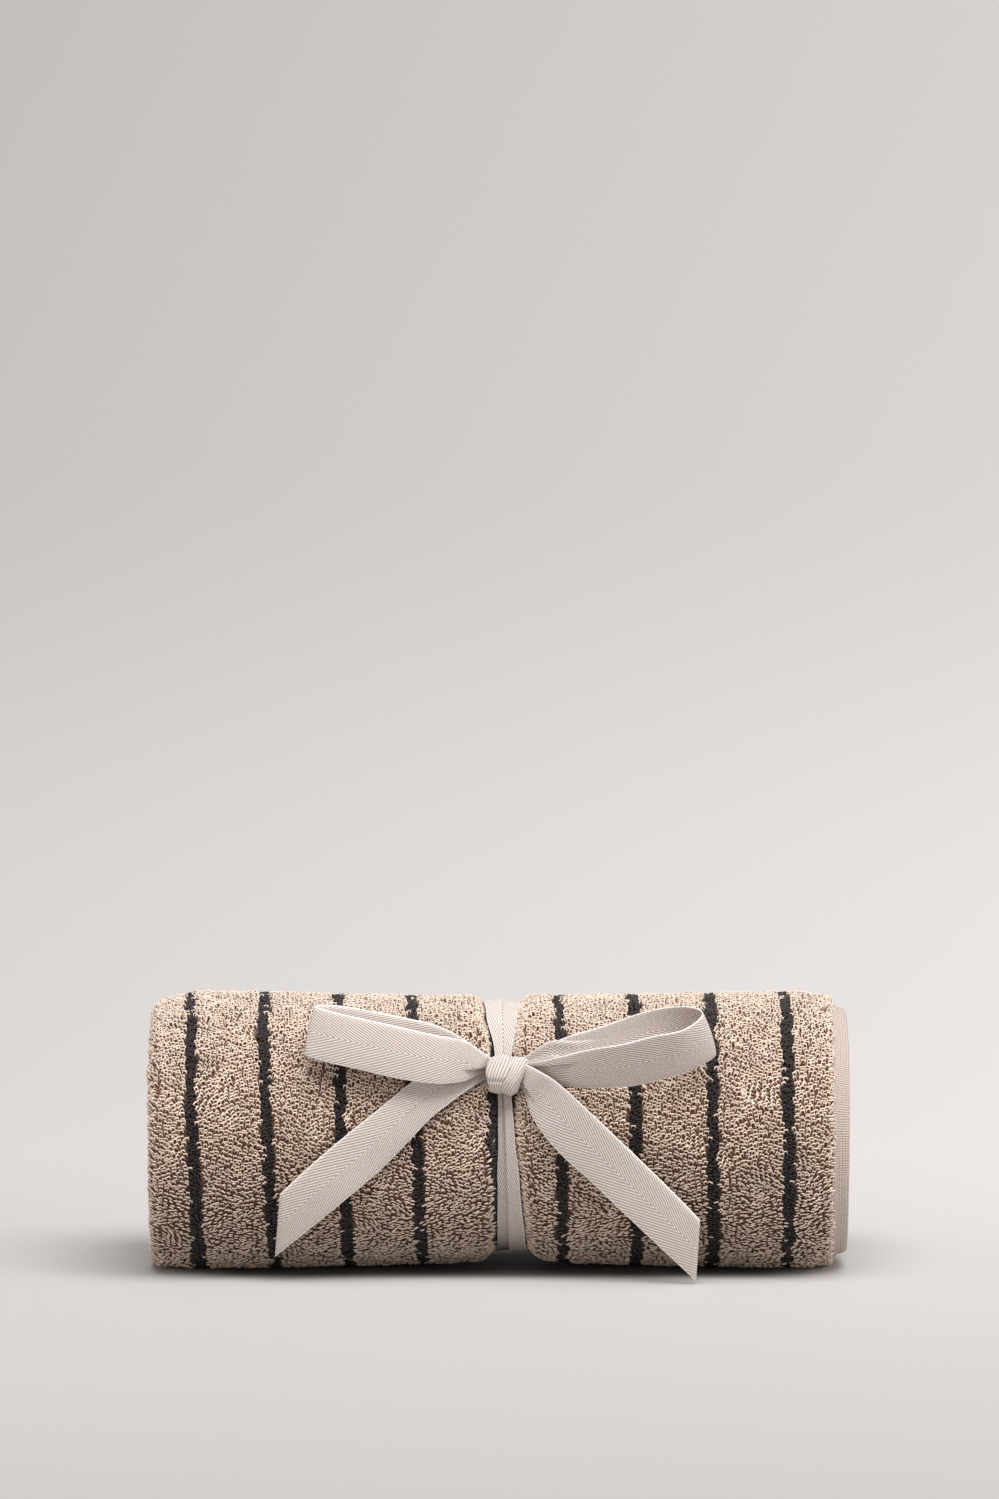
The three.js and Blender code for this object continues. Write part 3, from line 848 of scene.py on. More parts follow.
@dataclass(frozen=True)
class LoopPile:
    """The terry's pile: each loop is a short arch of yarn, leaning along the nap."""

    form: RollForm
    towel: TowelCloth
    pitch_across: float = 1.4656
    pitch_along: float = 1.16
    spread: float = 1.4
    height: float = 1.9
    yarn: float = 0.28
    lean: float = 47.0
    patch_turn: float = 34.0
    own_turn: float = 10.0
    stray: float = 0.14
    drift: float = 0.4
    drift_reach: float = 5.5
    patch_reach: float = 26.0
    small_reach: float = 9.0
    stripe_draw: float = 0.24
    stripe_half: float = 1.22
    ragged: float = 0.24
    jitter: float = 0.09
    ground_depth: float = 1.75
    press: float = 0.7
    seed: int = 7

    def skin_feet(self) -> Feet:
        """Stand loops in rows over the outermost turn, apart from what the tape hides.

        Returns:
            Their feet.
        """
        form, towel = self.form, self.towel
        start, end = form.lap_angle - TURN - 3, form.lap_angle - math.degrees(towel.header / form.lap_radius)
        angle = form.angles_along(start, end, self.pitch_along, self.ground_depth)
        column = towel.middle_stripe + self.pitch_across * np.arange(-80, 81)
        last = towel.hem_tips[0] - towel.hem - 0.2
        column = column[(column > towel.fold_x - 0.5) & (column < last)]
        across, winding = (grid.ravel() for grid in np.meshgrid(column, angle))
        along = np.repeat(np.arange(len(angle)), len(column)) * self.pitch_along
        draw = np.random.default_rng(self.seed)
        from_stripe = self.from_stripe(across)
        drawn = self.stripe_draw * bell(from_stripe, 5.0, 4) * np.sign(from_stripe)
        x = across - drawn + towel.sway(across, winding) + draw.normal(0, self.stray * 0.8, across.shape)
        degree = np.degrees(self.pitch_along / form.spiral(winding))
        stagger = 0.5 * (np.round(across / self.pitch_across) % 2)
        winding = winding + degree * (stagger + draw.normal(0, self.stray, across.shape))
        x = x + self.drift * patchy(across, along, self.drift_reach, self.seed + 5)
        shown = np.abs(x - form.band_middle(winding)) > 1.15 * form.groove_half(winding)
        return self.feet_at(x, winding, across, along).taken(shown)

    def wall_feet(self) -> Feet:
        """Stand loops on the two walls of the waist's groove, where the skin is steep.

        Returns:
            Their feet.
        """
        form = self.form
        start, end = form.lap_angle - TURN, form.lap_angle - 12
        angle = form.angles_along(start, end, self.pitch_along, self.ground_depth)
        shares = np.array([0.83, 0.9, 0.97, 1.04, 1.11, -0.83, -0.9, -0.97, -1.04, -1.11])
        share, winding = (grid.ravel() for grid in np.meshgrid(shares, angle))
        draw = np.random.default_rng(self.seed + 4)
        winding = winding + draw.normal(0, 0.3, winding.shape)
        off = share * form.groove_half(winding) + draw.normal(0, 0.15, share.shape)
        x = form.band_middle(winding) + off
        along = np.repeat(np.arange(len(angle)) * self.pitch_along, len(shares))
        return self.feet_at(x, winding, x - self.towel.sway(x, winding), along)

    def feet_at(self, x: Array, winding: Array, across: Array, along: Array) -> Feet:
        """Stand loops on the layer's outer ground at places along the roll and winding angles."""
        points = self.form.wound(x, winding, self.ground_depth)
        return Feet(points, *self.form.tangents(x, winding, self.ground_depth), across, along)

    def turned_feet(self, x: Array, depth: Array, tilt: Array, winding: Array) -> Feet:
        """Stand loops on an end of the winding, where the cloth faces sideways.

        The outward direction is the roll's axis and the layer's outward normal, mixed by the tilt's cosine
        and sine.

        Args:
            x, depth: Places along the roll, and depths in the layer.
            tilt: Angle from the roll's axis towards the layer's outer face, in degrees.
            winding: Winding angles.

        Returns:
            Their feet, with the nap along the winding.
        """
        along_roll, nap, up = self.form.tangents(x, winding, self.ground_depth)
        turned = np.radians(tilt)[:, None]
        outwards = unit(along_roll * np.sign(x)[:, None] * np.cos(turned) + up * np.sin(turned))
        beside = unit(np.cross(nap, outwards))
        return Feet(self.form.wound(x, winding, depth), beside, nap, outwards, x + tilt / 20, winding)

    def end_feet(self) -> Feet:
        """Stand loops round the fold at the left of every turn, and beside the hems at the right.

        Returns:
            Their feet.
        """
        towel = self.towel
        start, end = self.form.first_angle + 18, self.form.lap_angle - 14
        angle = self.form.angles_along(start, end, self.pitch_along, towel.fold_depth)
        outer = towel.fold_radius + towel.terry_half
        draw = np.random.default_rng(self.seed + 1)
        ends = []
        for tilt in np.linspace(-70.0, 70.0, 8):
            turned = np.full(angle.shape, tilt) + draw.normal(0, 5, angle.shape)
            x = towel.fold_x + towel.end_wave(angle) - outer * np.cos(np.radians(turned))
            depth = towel.fold_depth - outer * np.sin(np.radians(turned))
            ends.append(self.turned_feet(x, depth, turned, angle + draw.normal(0, 0.25, angle.shape)))
        for side, ply in zip((-1.0, 1.0), towel.ply_depths):
            x = towel.hem_tips[0] - towel.hem - 0.8 - towel.end_wave(angle) + draw.normal(0, 0.3, angle.shape)
            depth = np.full(angle.shape, ply + side * towel.terry_half)
            turned = np.full(angle.shape, -50.0 * side)
            ends.append(self.turned_feet(x, depth, turned, angle + draw.normal(0, 0.25, angle.shape)))
        return ends[0].and_more(*ends[1:])

    def from_stripe(self, across: Array) -> Array:
        """Distance across the cloth from the nearest stripe's middle."""
        pitch = self.towel.stripe_pitch
        return np.mod(across - self.towel.middle_stripe + pitch / 2, pitch) - pitch / 2

    def striped(self, feet: Feet) -> Array:
        """Tell which loops stand in a stripe, ragged at its sides; the tape half draws in the one beside it.

        Args:
            feet: The loops' feet.

        Returns:
            A mask over the loops.
        """
        drawn_in = np.abs(feet.across - self.towel.middle_stripe + 1.9) < 1.2
        ragged = np.random.default_rng(self.seed + 9).normal(0, self.ragged, len(feet.across))
        inside = np.abs(self.from_stripe(feet.across)) + ragged < self.pitch_across * self.stripe_half
        return inside & ~drawn_in

    def loops(self, feet: Feet, seed: int, size: float = 1.0) -> Shape:
        """Raise an arch of yarn on each foot.

        An arch runs through four points: two feet and two shoulders at the full height. Each point carries
        a three-sided section, whose corners are the yarn's radius times the cosine and sine of their angle,
        on the arch's own outward direction and its plane's normal. Near the surface the yarn is pressed flat.

        Args:
            feet: Where the loops stand.
            seed: Seeds the loops' own turns and sizes.
            size: Scales the loops' heights and spreads.

        Returns:
            The shape: the map's U is a loop's tint and its V the height along the yarn.
        """
        draw = np.random.default_rng(seed)
        count = len(feet.points)
        patch = patchy(feet.across, feet.along, self.patch_reach, self.seed + 2)
        small_patch = patchy(feet.across, feet.along, self.small_reach, self.seed + 3)
        yaw = self.patch_turn * (0.6 * patch + 0.6 * small_patch) + draw.normal(0, self.own_turn, count)
        turned = np.radians(yaw)[:, None]
        side = feet.beside * np.cos(turned) + feet.nap * np.sin(turned)
        nap = feet.nap * np.cos(turned) - feet.beside * np.sin(turned)
        lean = np.radians(self.lean + 8 * small_patch + draw.normal(0, 6, count))[:, None]
        rise = unit(feet.outwards * np.cos(lean) + nap * np.sin(lean))
        flat = np.cross(side, rise)[:, None, None, :]
        side, rise = side[:, None, :], rise[:, None, :]

        across = np.array([-0.36, -0.36, 0.36, 0.36])[None, :, None]
        up = np.array([-0.12, 0.92, 0.92, -0.12])
        away = unit(np.array([[-1.0, 0.1], [-0.7, 0.8], [0.7, 0.8], [1.0, 0.1]]))[None]
        spread = (size * self.spread * draw.uniform(0.85, 1.15, count))[:, None, None]
        height = (size * self.height * draw.uniform(0.85, 1.12, count))[:, None, None]
        wobble = draw.normal(0, self.jitter, (count, 4, 3)) * np.array([0, 1, 1, 0])[None, :, None]
        path = feet.points[:, None, :] + side * across * spread + rise * up[None, :, None] * height + wobble
        outward = (side * away[..., :1] + rise * away[..., 1:])[:, :, None, :]
        corner = np.radians([90.0, 210.0, 330.0])[None, None, :, None]
        yarn = (self.yarn * draw.uniform(0.9, 1.12, count))[:, None, None, None]
        points = path[:, :, None, :] + yarn * (outward * np.sin(corner) + flat * np.cos(corner))
        points = points.reshape(-1, 3)
        low = points[:, 2] < self.press
        points[low, 2] = self.press * np.exp((points[low, 2] - self.press) / self.press)

        tint = np.clip(0.5 + 0.13 * patch + 0.07 * small_patch + draw.normal(0, 0.13, count), 0.03, 0.97)
        u = tint[:, None, None] + np.array([0.0, 0.012, -0.012])[None, None, :]
        v = np.clip(up, 0.03, 0.97)[None, :, None] + np.array([0.012, -0.006, -0.006])[None, None, :]
        places = stacked(u, v).reshape(-1, 2)
        faces = (self.arch_faces()[None] + 12 * np.arange(count)[:, None, None]).reshape(-1, 3)
        return Shape(points, faces, {BAKE_MAP: places[faces].reshape(-1, 2)})

    @staticmethod
    def arch_faces() -> Array:
        """List the triangles of one arch of four three-sided sections, with its two end caps.

        Returns:
            The corners of each triangle.
        """
        section, side = (grid.ravel() for grid in np.meshgrid(np.arange(3), np.arange(3), indexing="ij"))
        a, b = 3 * section + side, 3 * section + (side + 1) % 3
        walls = np.concatenate([np.stack([a, a + 3, b + 3], -1), np.stack([a, b + 3, b], -1)])
        return np.concatenate([walls, [[0, 1, 2], [11, 10, 9]]])


@dataclass(frozen=True)
class TapePly:
    """A stretch of tape between two edges, each a list of given points."""

    upper: tuple[Point, ...]
    lower: tuple[Point, ...]


LEFT_LOOP = TapePly(
    upper=(
        (-1.0, -39.5, 70.0), (-4.2, -40.0, 71.5), (-10.2, -41.5, 76.4), (-18.1, -42.5, 78.1),
        (-30.7, -42.0, 80.9), (-43.2, -41.0, 83.6), (-52.7, -39.5, 85.7), (-57.4, -36.0, 86.8),
        (-51.2, -32.8, 86.7), (-30.7, -33.0, 83.1), (-18.1, -35.3, 80.2), (-10.2, -37.5, 76.3),
        (-3.6, -38.0, 71.9), (-1.0, -38.0, 70.0),
    ),
    lower=(
        (-1.0, -39.5, 66.0), (-4.2, -40.5, 66.1), (-10.2, -43.5, 64.0), (-18.1, -46.0, 63.4),
        (-30.6, -46.0, 64.9), (-43.2, -45.0, 67.7), (-55.2, -43.5, 70.3), (-60.5, -41.2, 72.0),
        (-52.7, -39.0, 71.6), (-31.9, -39.2, 68.0), (-19.4, -40.0, 65.6), (-10.2, -39.5, 65.2),
        (-3.6, -38.5, 66.8), (-1.0, -38.0, 66.5),
    ),
)  # fmt: skip
RIGHT_LOOP = TapePly(
    upper=(
        (7.0, -39.5, 69.0), (9.6, -40.5, 69.3), (14.9, -44.0, 70.7), (20.9, -47.5, 72.7),
        (29.6, -51.5, 75.1), (39.3, -54.0, 77.0), (48.7, -55.0, 79.6), (58.4, -54.0, 81.6),
        (64.3, -47.5, 85.6), (60.0, -38.5, 87.0), (48.9, -33.5, 85.4), (32.2, -33.5, 79.8),
        (20.0, -35.5, 76.3), (10.2, -37.5, 71.3), (7.0, -38.5, 69.5),
    ),
    lower=(
        (7.0, -39.5, 65.8), (9.3, -40.0, 65.4), (13.7, -42.0, 64.1), (19.7, -44.5, 62.5),
        (29.1, -46.0, 62.1), (40.1, -47.5, 62.6), (50.1, -48.0, 64.6), (61.4, -47.5, 68.2),
        (68.7, -43.0, 72.2), (63.6, -37.0, 73.0), (50.3, -35.5, 71.9), (32.3, -36.8, 67.4),
        (19.1, -37.5, 66.4), (9.9, -38.5, 66.8), (7.0, -38.5, 66.5),
    ),
)  # fmt: skip
LEFT_TAIL = TapePly(
    upper=(
        (-0.5, -38.5, 68.0), (-3.3, -38.6, 68.7), (-13.4, -36.6, 69.1), (-21.9, -38.0, 66.4),
        (-29.4, -41.0, 61.4), (-37.0, -43.6, 55.4), (-46.4, -45.6, 48.1), (-58.6, -46.5, 37.8),
        (-68.4, -47.5, 28.7),
    ),
    lower=(
        (0.5, -38.5, 64.0), (-3.6, -38.9, 63.6), (-9.9, -41.4, 60.8), (-14.9, -42.8, 57.0),
        (-20.6, -44.0, 52.6), (-27.2, -45.0, 45.8), (-36.2, -45.6, 36.6), (-48.6, -47.0, 26.1),
        (-70.1, -44.5, 8.3),
    ),
)  # fmt: skip
RIGHT_TAIL = TapePly(
    upper=(
        (6.0, -39.5, 68.5), (8.3, -41.2, 69.1), (14.6, -45.5, 66.8), (20.9, -47.5, 62.3),
        (29.7, -48.5, 54.2), (39.7, -49.0, 44.7), (49.8, -49.0, 34.9), (58.0, -49.0, 26.7),
        (63.7, -49.0, 20.7),
    ),
    lower=(
        (4.5, -39.5, 64.5), (6.1, -40.8, 63.3), (8.3, -44.0, 59.3), (11.4, -46.5, 52.0),
        (18.6, -47.5, 42.6), (29.1, -48.0, 32.9), (39.1, -48.5, 23.3), (49.3, -48.5, 13.6),
        (62.5, -47.5, 1.0),
    ),
)  # fmt: skip
KNOT_CROSSING = TapePly(
    upper=(
        (1.0, 5.0, -1.5), (0.9, 4.9, 2.0), (1.1, 2.5, 4.6), (0.9, 0.0, 5.5), (0.1, -2.6, 5.3),
        (-1.6, -5.2, 4.2), (-2.4, -6.9, 1.6), (-2.2, -6.2, -1.0),
    ),
    lower=(
        (6.4, 4.2, -3.0), (7.3, 3.6, 0.0), (6.5, 1.6, 2.4), (5.7, -0.6, 3.2), (4.8, -2.9, 3.2),
        (3.9, -5.0, 2.6), (3.2, -6.7, 0.8), (2.8, -6.2, -1.4),
    ),
)  # fmt: skip


def through(points: tuple[Point, ...], steps: int = 8) -> Array:
    """Run a smooth curve through points: a centripetal Catmull-Rom cubic between each two.

    Args:
        points: The points.
        steps: How many steps lie between two of them.

    Returns:
        The curve's points.
    """
    known = np.array(points)
    held = np.concatenate([[2 * known[0] - known[1]], known, [2 * known[-1] - known[-2]]])
    a, b, c, d = held[:-3], held[1:-2], held[2:-1], held[3:]
    gap = np.sqrt(np.linalg.norm(np.diff(held, axis=0), axis=1, keepdims=True))
    before, here, after = gap[:-2], gap[1:-1], gap[2:]
    leaving = ((b - a) / before - (c - a) / (before + here) + (c - b) / here) * here
    arriving = ((c - b) / here - (d - b) / (here + after) + (d - c) / after) * here
    share = (np.arange(steps) / steps)[None, :, None]
    b, c, leaving, arriving = (values[:, None, :] for values in (b, c, leaving, arriving))
    bend = -3 * b + 3 * c - 2 * leaving - arriving
    twist = 2 * b - 2 * c + leaving + arriving
    curve = b + share * (leaving + share * (bend + share * twist))
    return np.concatenate([curve.reshape(-1, 3), known[-1:]])


@dataclass(frozen=True)
class TapeBow:
    """The tape: a band round the roll, a knot, two loops and two tails."""

    form: RollForm
    tape_half: float = 8.0
    half_thick: float = 0.3
    columns: int = 27
    packing: float = 1.9
    flat_room: float = 7.2
    gathers_over: float = 2.6
    pleat_rise: float = 0.75
    pleat_round: float = 0.35
    least_fold: float = 0.62
    clearance: float = 0.35
    lap_bridge: float = 30.0
    knot_above: float = 6.0
    knot_twill: float = 0.45
    knot_half: float = 4.2
    knot_tall: float = 5.6
    knot_deep: float = 4.9
    knot_square: float = 0.74
    pull: float = 3.4
    pull_reach: float = 9.0
    above_floor: float = 0.4
    tape_length: float = 740.0
    atlas_rows: int = 16

    def pleat(self, half: Array, crease: float, over: float) -> tuple[Array, Array, Array]:
        """Fold the tape's width into the room it has, as one pleat shaped like a flat letter Z.

        The place across follows the tape, turns back at the first fold and on again at the second; each fold
        is a rounded corner, half of s plus the root of s squared and the rounding squared. The level steps
        down at each of them.

        Args:
            half: Half the room across, at each row.
            crease: Where the upper fold lies, as a share of half the room from the middle.
            over: 1 where the first edge lies on top, -1 where the last does.

        Returns:
            Places across, levels, and places on the tape, each as rows of columns.
        """
        room = half[:, None]
        wanted = np.clip(np.minimum(self.tape_half, self.packing * room) - room, 0, None)
        tucked = wanted * smooth_step((self.flat_room - room) / self.gathers_over)
        second = crease * room
        first = second - np.maximum(tucked, self.least_fold)
        share = np.linspace(0, 1, self.columns // 3)[None, :]
        near = np.array([[-0.5, -0.25, 0.0, 0.25]])
        low, high = -(room + tucked), room + tucked
        runs = (low + (first - 0.8 - low) * share, first + near, (first + second) / 2)
        more = (second - near[:, ::-1], second + 0.8 + (high - second - 0.8) * share)
        at = np.concatenate(runs + more, 1)[:, :: int(over)]
        on_tape = over * at / high * self.tape_half

        def corner(place: Array) -> tuple[Array, Array]:
            """The rounded corner's place and step."""
            root = np.sqrt(place**2 + self.pleat_round**2)
            return (place + root) / 2, (1 + place / root) / 2

        ramp_1, step_1 = corner(at - (second - tucked))
        ramp_2, step_2 = corner(at - second)
        across = over * (at + tucked - 2 * ramp_1 + 2 * ramp_2)
        rise = self.pleat_rise * smooth_step(tucked / 2.2)
        level = rise * (1 - step_1 - step_2) - 0.7 * rise * bell(at - second - 1.0, 1.1)
        return across, level, on_tape

    def thickness(self, on_tape: Array) -> Array:
        """Half the tape's thickness across it: full, and rounded at the selvedges."""
        return self.half_thick * np.sqrt(1 - 0.93 * np.abs(on_tape / self.tape_half) ** 12)

    def tiles(self, row: int) -> tuple[Tile, Tile]:
        """The two rows of the bake's map that a stretch of tape takes."""
        tall = 1.0 / self.atlas_rows
        return tuple(Tile(0.01, (y + 0.1) * tall, 0.99, (y + 0.9) * tall) for y in (2 * row, 2 * row + 1))

    def shell(self, middle: Array, half: Array, across: Array, along: Array, row: int) -> Shape:
        """Give a stretch of tape its thickness, mapped in tape widths across and along."""
        pattern = stacked(across, along) / (2 * self.tape_half)
        return sheet_shell(middle, half, pattern, self.tiles(row), TapeFinish.pattern_map)

    def ply(self, ply: TapePly, facing: float, crease: float, row: int, cup: float) -> Shape:
        """Lay tape between two edge curves.

        Each row runs from the upper edge's point to the lower edge's, with the pleat's places on that line
        and its levels on the normal, which is the cross product of the path and the line.

        Args:
            ply: The edges.
            facing: 1 or -1, so that levels rise towards the front.
            crease: Where the pleat's upper fold lies, as a share of half the room.
            row: The stretch's row on the bake's map.
            cup: How far the tape's middle stands proud of its edges.

        Returns:
            The shape.
        """
        upper, lower = (self.into_knot(through(edge)) for edge in (ply.upper, ply.lower))
        line, path = lower - upper, (upper + lower) / 2
        wide = np.linalg.norm(line, axis=1)
        direction = line / wide[:, None]
        normal = unit(np.cross(np.gradient(path, axis=0), direction)) * facing
        across, level, on_tape = self.pleat(wide / 2, crease, 1.0)
        q = on_tape / self.tape_half
        level = level + cup * (1 - q**2)
        middle = path[:, None, :] + direction[:, None, :] * across[..., None]
        middle = middle + normal[:, None, :] * level[..., None]
        first, last = (travelled(np.linalg.norm(np.diff(edge, axis=0), axis=1)) for edge in (upper, lower))
        share = (q + 1) / 2
        along = first[:, None] * (1 - share) + last[:, None] * share
        return self.shell(middle, self.thickness(on_tape), on_tape, -facing * along, row)

    def band(self) -> Shape:
        """Wrap the tape round the roll's waist, pleated at the front and flat at the back.

        A point lies at its place across from the band's middle, at the skin's radius plus the clearance and
        its level.

        Returns:
            The shape.
        """
        form = self.form
        angle = np.linspace(form.knot_angle, form.knot_angle + TURN, 201)
        round_it = form.outermost(angle)
        half = form.band_half(angle)
        share = smooth_step((angle - 180) / 60)[:, None]
        pleats = zip(self.pleat(half, 0.05, 1.0), self.pleat(half, 0.2, -1.0))
        across, level, on_tape = (above * (1 - share) + below * share for above, below in pleats)
        bridge = smooth_step((form.lap_angle - TURN + self.lap_bridge - round_it) / self.lap_bridge)
        x = form.band_middle(angle)[:, None] + across
        skin = (form.skin(form.band_middle(angle), round_it) + form.layer * bridge)[:, None]
        folded = self.pleat_rise * smooth_step((self.tape_half - half) / 2)[:, None]
        radius = skin + self.clearance + folded + level
        middle = form.polar(x, angle[:, None], radius, self.above_floor)
        along = np.radians(angle - angle[0])[:, None] * skin
        return self.shell(middle[::-1], self.thickness(on_tape)[::-1], on_tape[::-1], along[::-1], 0)

    def into_knot(self, points: Array) -> Array:
        """Pull points near the knot back into it, by a bell over their distance along the roll."""
        near = bell(points[:, :1] - self.form.knot_x, self.pull_reach, 4)
        return points + np.array([0.0, 1.0, -0.09]) * self.pull * near

    def knot_frame(self) -> tuple[Array, Array]:
        """Find where the knot sits.

        Returns:
            Its middle, and its axes: to the right, up along the skin, and out from it.
        """
        x, angle = np.array(self.form.knot_x), np.array(self.form.knot_angle)
        at = self.form.polar(x, angle, self.form.skin(x, angle) + self.knot_above)
        turned = math.radians(self.form.knot_angle)
        sine, cosine = math.sin(turned), math.cos(turned)
        return at, np.array([[1.0, 0.0, 0.0], [0.0, sine, cosine], [0.0, -cosine, sine]])

    def knot_ply(self, left: Array, right: Array, level: Array, row: int) -> Shape:
        """Lay tape on the knot between two edge curves, with its twill running along them.

        Args:
            left, right: Points of its edges on the knot's axes.
            level: How far each column stands out.
            row: The ply's row on the bake's map.

        Returns:
            The shape.
        """
        at, axes = self.knot_frame()
        line = right - left
        normal = unit(np.cross(np.gradient(left + right, axis=0), line))
        share = np.linspace(0, 1, len(level))[None, :]
        local = left[:, None, :] + line[:, None, :] * share[..., None]
        local = local + normal[:, None, :] * level[None, :, None]
        steps = np.linalg.norm(np.diff(left + right, axis=0), axis=1) / 2
        along = travelled(steps)[:, None] * self.knot_twill
        thick = self.half_thick * np.sqrt(1 - 0.9 * np.abs(2 * share - 1) ** 12) + np.zeros((len(left), 1))
        return self.shell(at + local @ axes, thick, share * np.linalg.norm(line, axis=1).mean(), along, row)

    def knot_turn(self) -> Shape:
        """Wrap the knot's main turn: a rounded box round the pass, widest at its waist, lower at its edges.

        Returns:
            The shape.
        """
        turned = np.radians(np.linspace(160, -200, 97))
        waves = (np.sin(turned), np.cos(turned))
        upwards, outwards = (np.sign(wave) * np.abs(wave) ** self.knot_square for wave in waves)
        middle = -2.7 + 0.65 * upwards
        half = self.knot_half - 1.3 * np.clip(upwards, 0, 1) ** 2 - 1.5 * np.clip(-upwards, 0, 1) ** 2
        lip = 0.5 * bell(np.degrees(turned) + 44, 8)
        up = -0.6 + self.knot_tall * upwards + 0.5 * lip
        out = 0.6 + self.knot_deep * outwards - lip
        left, right = np.stack([middle - half, up, out], -1), np.stack([middle + half, up, out], -1)
        s = np.linspace(-1, 1, 33)
        return self.knot_ply(left, right, -1.2 * np.abs(s) ** 3 + 0.12 * np.sin(5.0 * s + 0.5), 5)

    def knot_crossing(self) -> Shape:
        """Lay the ply that crosses the knot from its foot up to its right, with a soft ridge along it.

        Returns:
            The shape.
        """
        q = np.linspace(-1, 1, 25)
        from_ridge = np.where(q < 0.25, (0.25 - q) / 1.25, (q - 0.25) / 0.75)
        level = 0.9 - 1.2 * np.sqrt(from_ridge**2 + 0.01)
        return self.knot_ply(through(KNOT_CROSSING.upper), through(KNOT_CROSSING.lower), level, 6)

    def whole(self) -> Shape:
        """Join the stretches of tape.

        Returns:
            The shape of the whole tie.
        """
        shape = self.band()
        for stretch in (
            self.ply(LEFT_LOOP, 1.0, 0.5, 1, 0.5),
            self.ply(RIGHT_LOOP, -1.0, -0.4, 2, 0.5),
            self.ply(LEFT_TAIL, 1.0, 0.1, 3, 0.35),
            self.ply(RIGHT_TAIL, -1.0, 0.55, 4, 0.35),
            self.knot_turn(),
            self.knot_crossing(),
        ):
            shape = shape.joined(stretch)
        return shape


@dataclass(frozen=True)
class Studio:
    """The floor that sweeps up into a backdrop, the lights and the camera."""

    shift: Array
    reach: float = 3200.0
    pitch: float = 5.3
    scale: float = 0.319
    photo: tuple[int, int] = (999, 1499)
    aim_pixel: Pair = (497.5, 1137.0)
    aim_height: float = 40.5
    sensor: float = 36.0
    sweep_start: float = 300.0
    sweep_radius: float = 2600.0
    sweep_half: float = 3500.0
    sweep_top: float = 3600.0
    room: float = 0.26
    lamps: tuple[tuple[str, Point, Pair, float, Colour], ...] = (
        ("key", (0.45, -1.0, 3.0), (3.0, 2.6), 150.0, (1.0, 0.99, 0.98)),
        ("right", (2.3, -0.6, 1.0), (1.4, 1.4), 18.0, (1.0, 0.985, 0.97)),
        ("left", (-2.3, -0.5, 0.9), (1.4, 1.4), 7.0, (1.0, 0.97, 0.94)),
        ("fill", (-0.7, -2.3, 0.55), (1.6, 1.0), 6.0, (1.0, 0.9, 0.8)),
    )

    def sweep(self) -> None:
        """Lay the floor and raise it into the backdrop: a straight, a quarter circle and a straight."""
        turned = np.radians(np.linspace(0, 90, 46))
        rise = self.sweep_start + self.sweep_radius * np.sin(turned)
        y = np.concatenate([[-4500.0, -1500.0, -500.0], rise, rise[-1:]])
        z = np.concatenate([np.zeros(3), self.sweep_radius * (1 - np.cos(turned)), [self.sweep_top]])
        x = np.linspace(-self.sweep_half, self.sweep_half, 15)
        grid = stacked(x[:, None], y[None, :], z[None, :])
        shape = Shape(grid.reshape(-1, 3), grid_faces(len(x), len(y))[1])
        shape.as_object("floor", self.shift, StudioFinish().material())

    def lights(self) -> None:
        """Hang soft boxes that face the object in a dim room: the key above, a warm fill low in front."""
        for name, place, (wide, tall), power, colour in self.lamps:
            lamp = bpy.data.lights.new(name, "AREA")
            lamp.shape = "RECTANGLE"
            lamp.size, lamp.size_y = wide, tall
            lamp.energy, lamp.color = power, colour
            box = bpy.data.objects.new(name, lamp)
            box.location = place
            towards = Vector((0.0, 0.0, 0.04)) - Vector(place)
            box.rotation_euler = towards.to_track_quat("-Z", "Y").to_euler()
            bpy.context.scene.collection.objects.link(box)
        world = bpy.data.worlds.new("room")
        world.use_nodes = True
        sky = world.node_tree.nodes["Background"].inputs
        sky["Color"].default_value = rgba((1.0, 0.99, 0.985))
        sky["Strength"].default_value = self.room
        bpy.context.scene.world = world

    def camera(self) -> None:
        """Set the camera at the photograph's viewing angle.

        It looks slightly down from its reach. The photograph's middle is above the roll's axis, by the
        pixels between them times the scale.
        """
        tilt = math.radians(self.pitch)
        ahead = np.array([0.0, math.cos(tilt), -math.sin(tilt)])
        up = np.array([0.0, math.sin(tilt), math.cos(tilt)])
        wide, tall = self.photo
        beside = (wide / 2 - self.aim_pixel[0]) * self.scale
        above = (self.aim_pixel[1] - tall / 2) * self.scale
        target = np.array([beside, 0.0, self.aim_height]) + up * above
        lens = bpy.data.cameras.new("camera")
        lens.sensor_width = self.sensor
        lens.lens = self.reach / self.scale / tall * self.sensor
        lens.clip_start, lens.clip_end = 0.1, 50.0
        camera = bpy.data.objects.new("camera", lens)
        camera.location = (target - ahead * self.reach + self.shift) * MM
        camera.rotation_euler = Matrix.Rotation(math.radians(90 - self.pitch), 3, "X").to_euler()
        bpy.context.scene.collection.objects.link(camera)
        bpy.context.scene.camera = camera


def frame_shift(form: RollForm, step: float = 9.0) -> Array:
    """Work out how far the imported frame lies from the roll's frame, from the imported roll's box.

    Args:
        form: The roll's form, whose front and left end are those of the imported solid.
        step: The step of the solid's angles.

    Returns:
        The shift in millimetres.
    """
    low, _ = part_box("towel_roll")
    angle = np.arange(form.lap_angle - TURN, form.lap_angle + step / 2, step)[:, None]
    x = np.linspace(form.fold_end + 4.4, form.hem_end - 6.0, 80)[None, :]
    front = (-form.skin(x, angle) * np.cos(np.radians(angle))).min()
    return np.array([low.x / MM - form.fold_end, low.y / MM - front, 0.0])


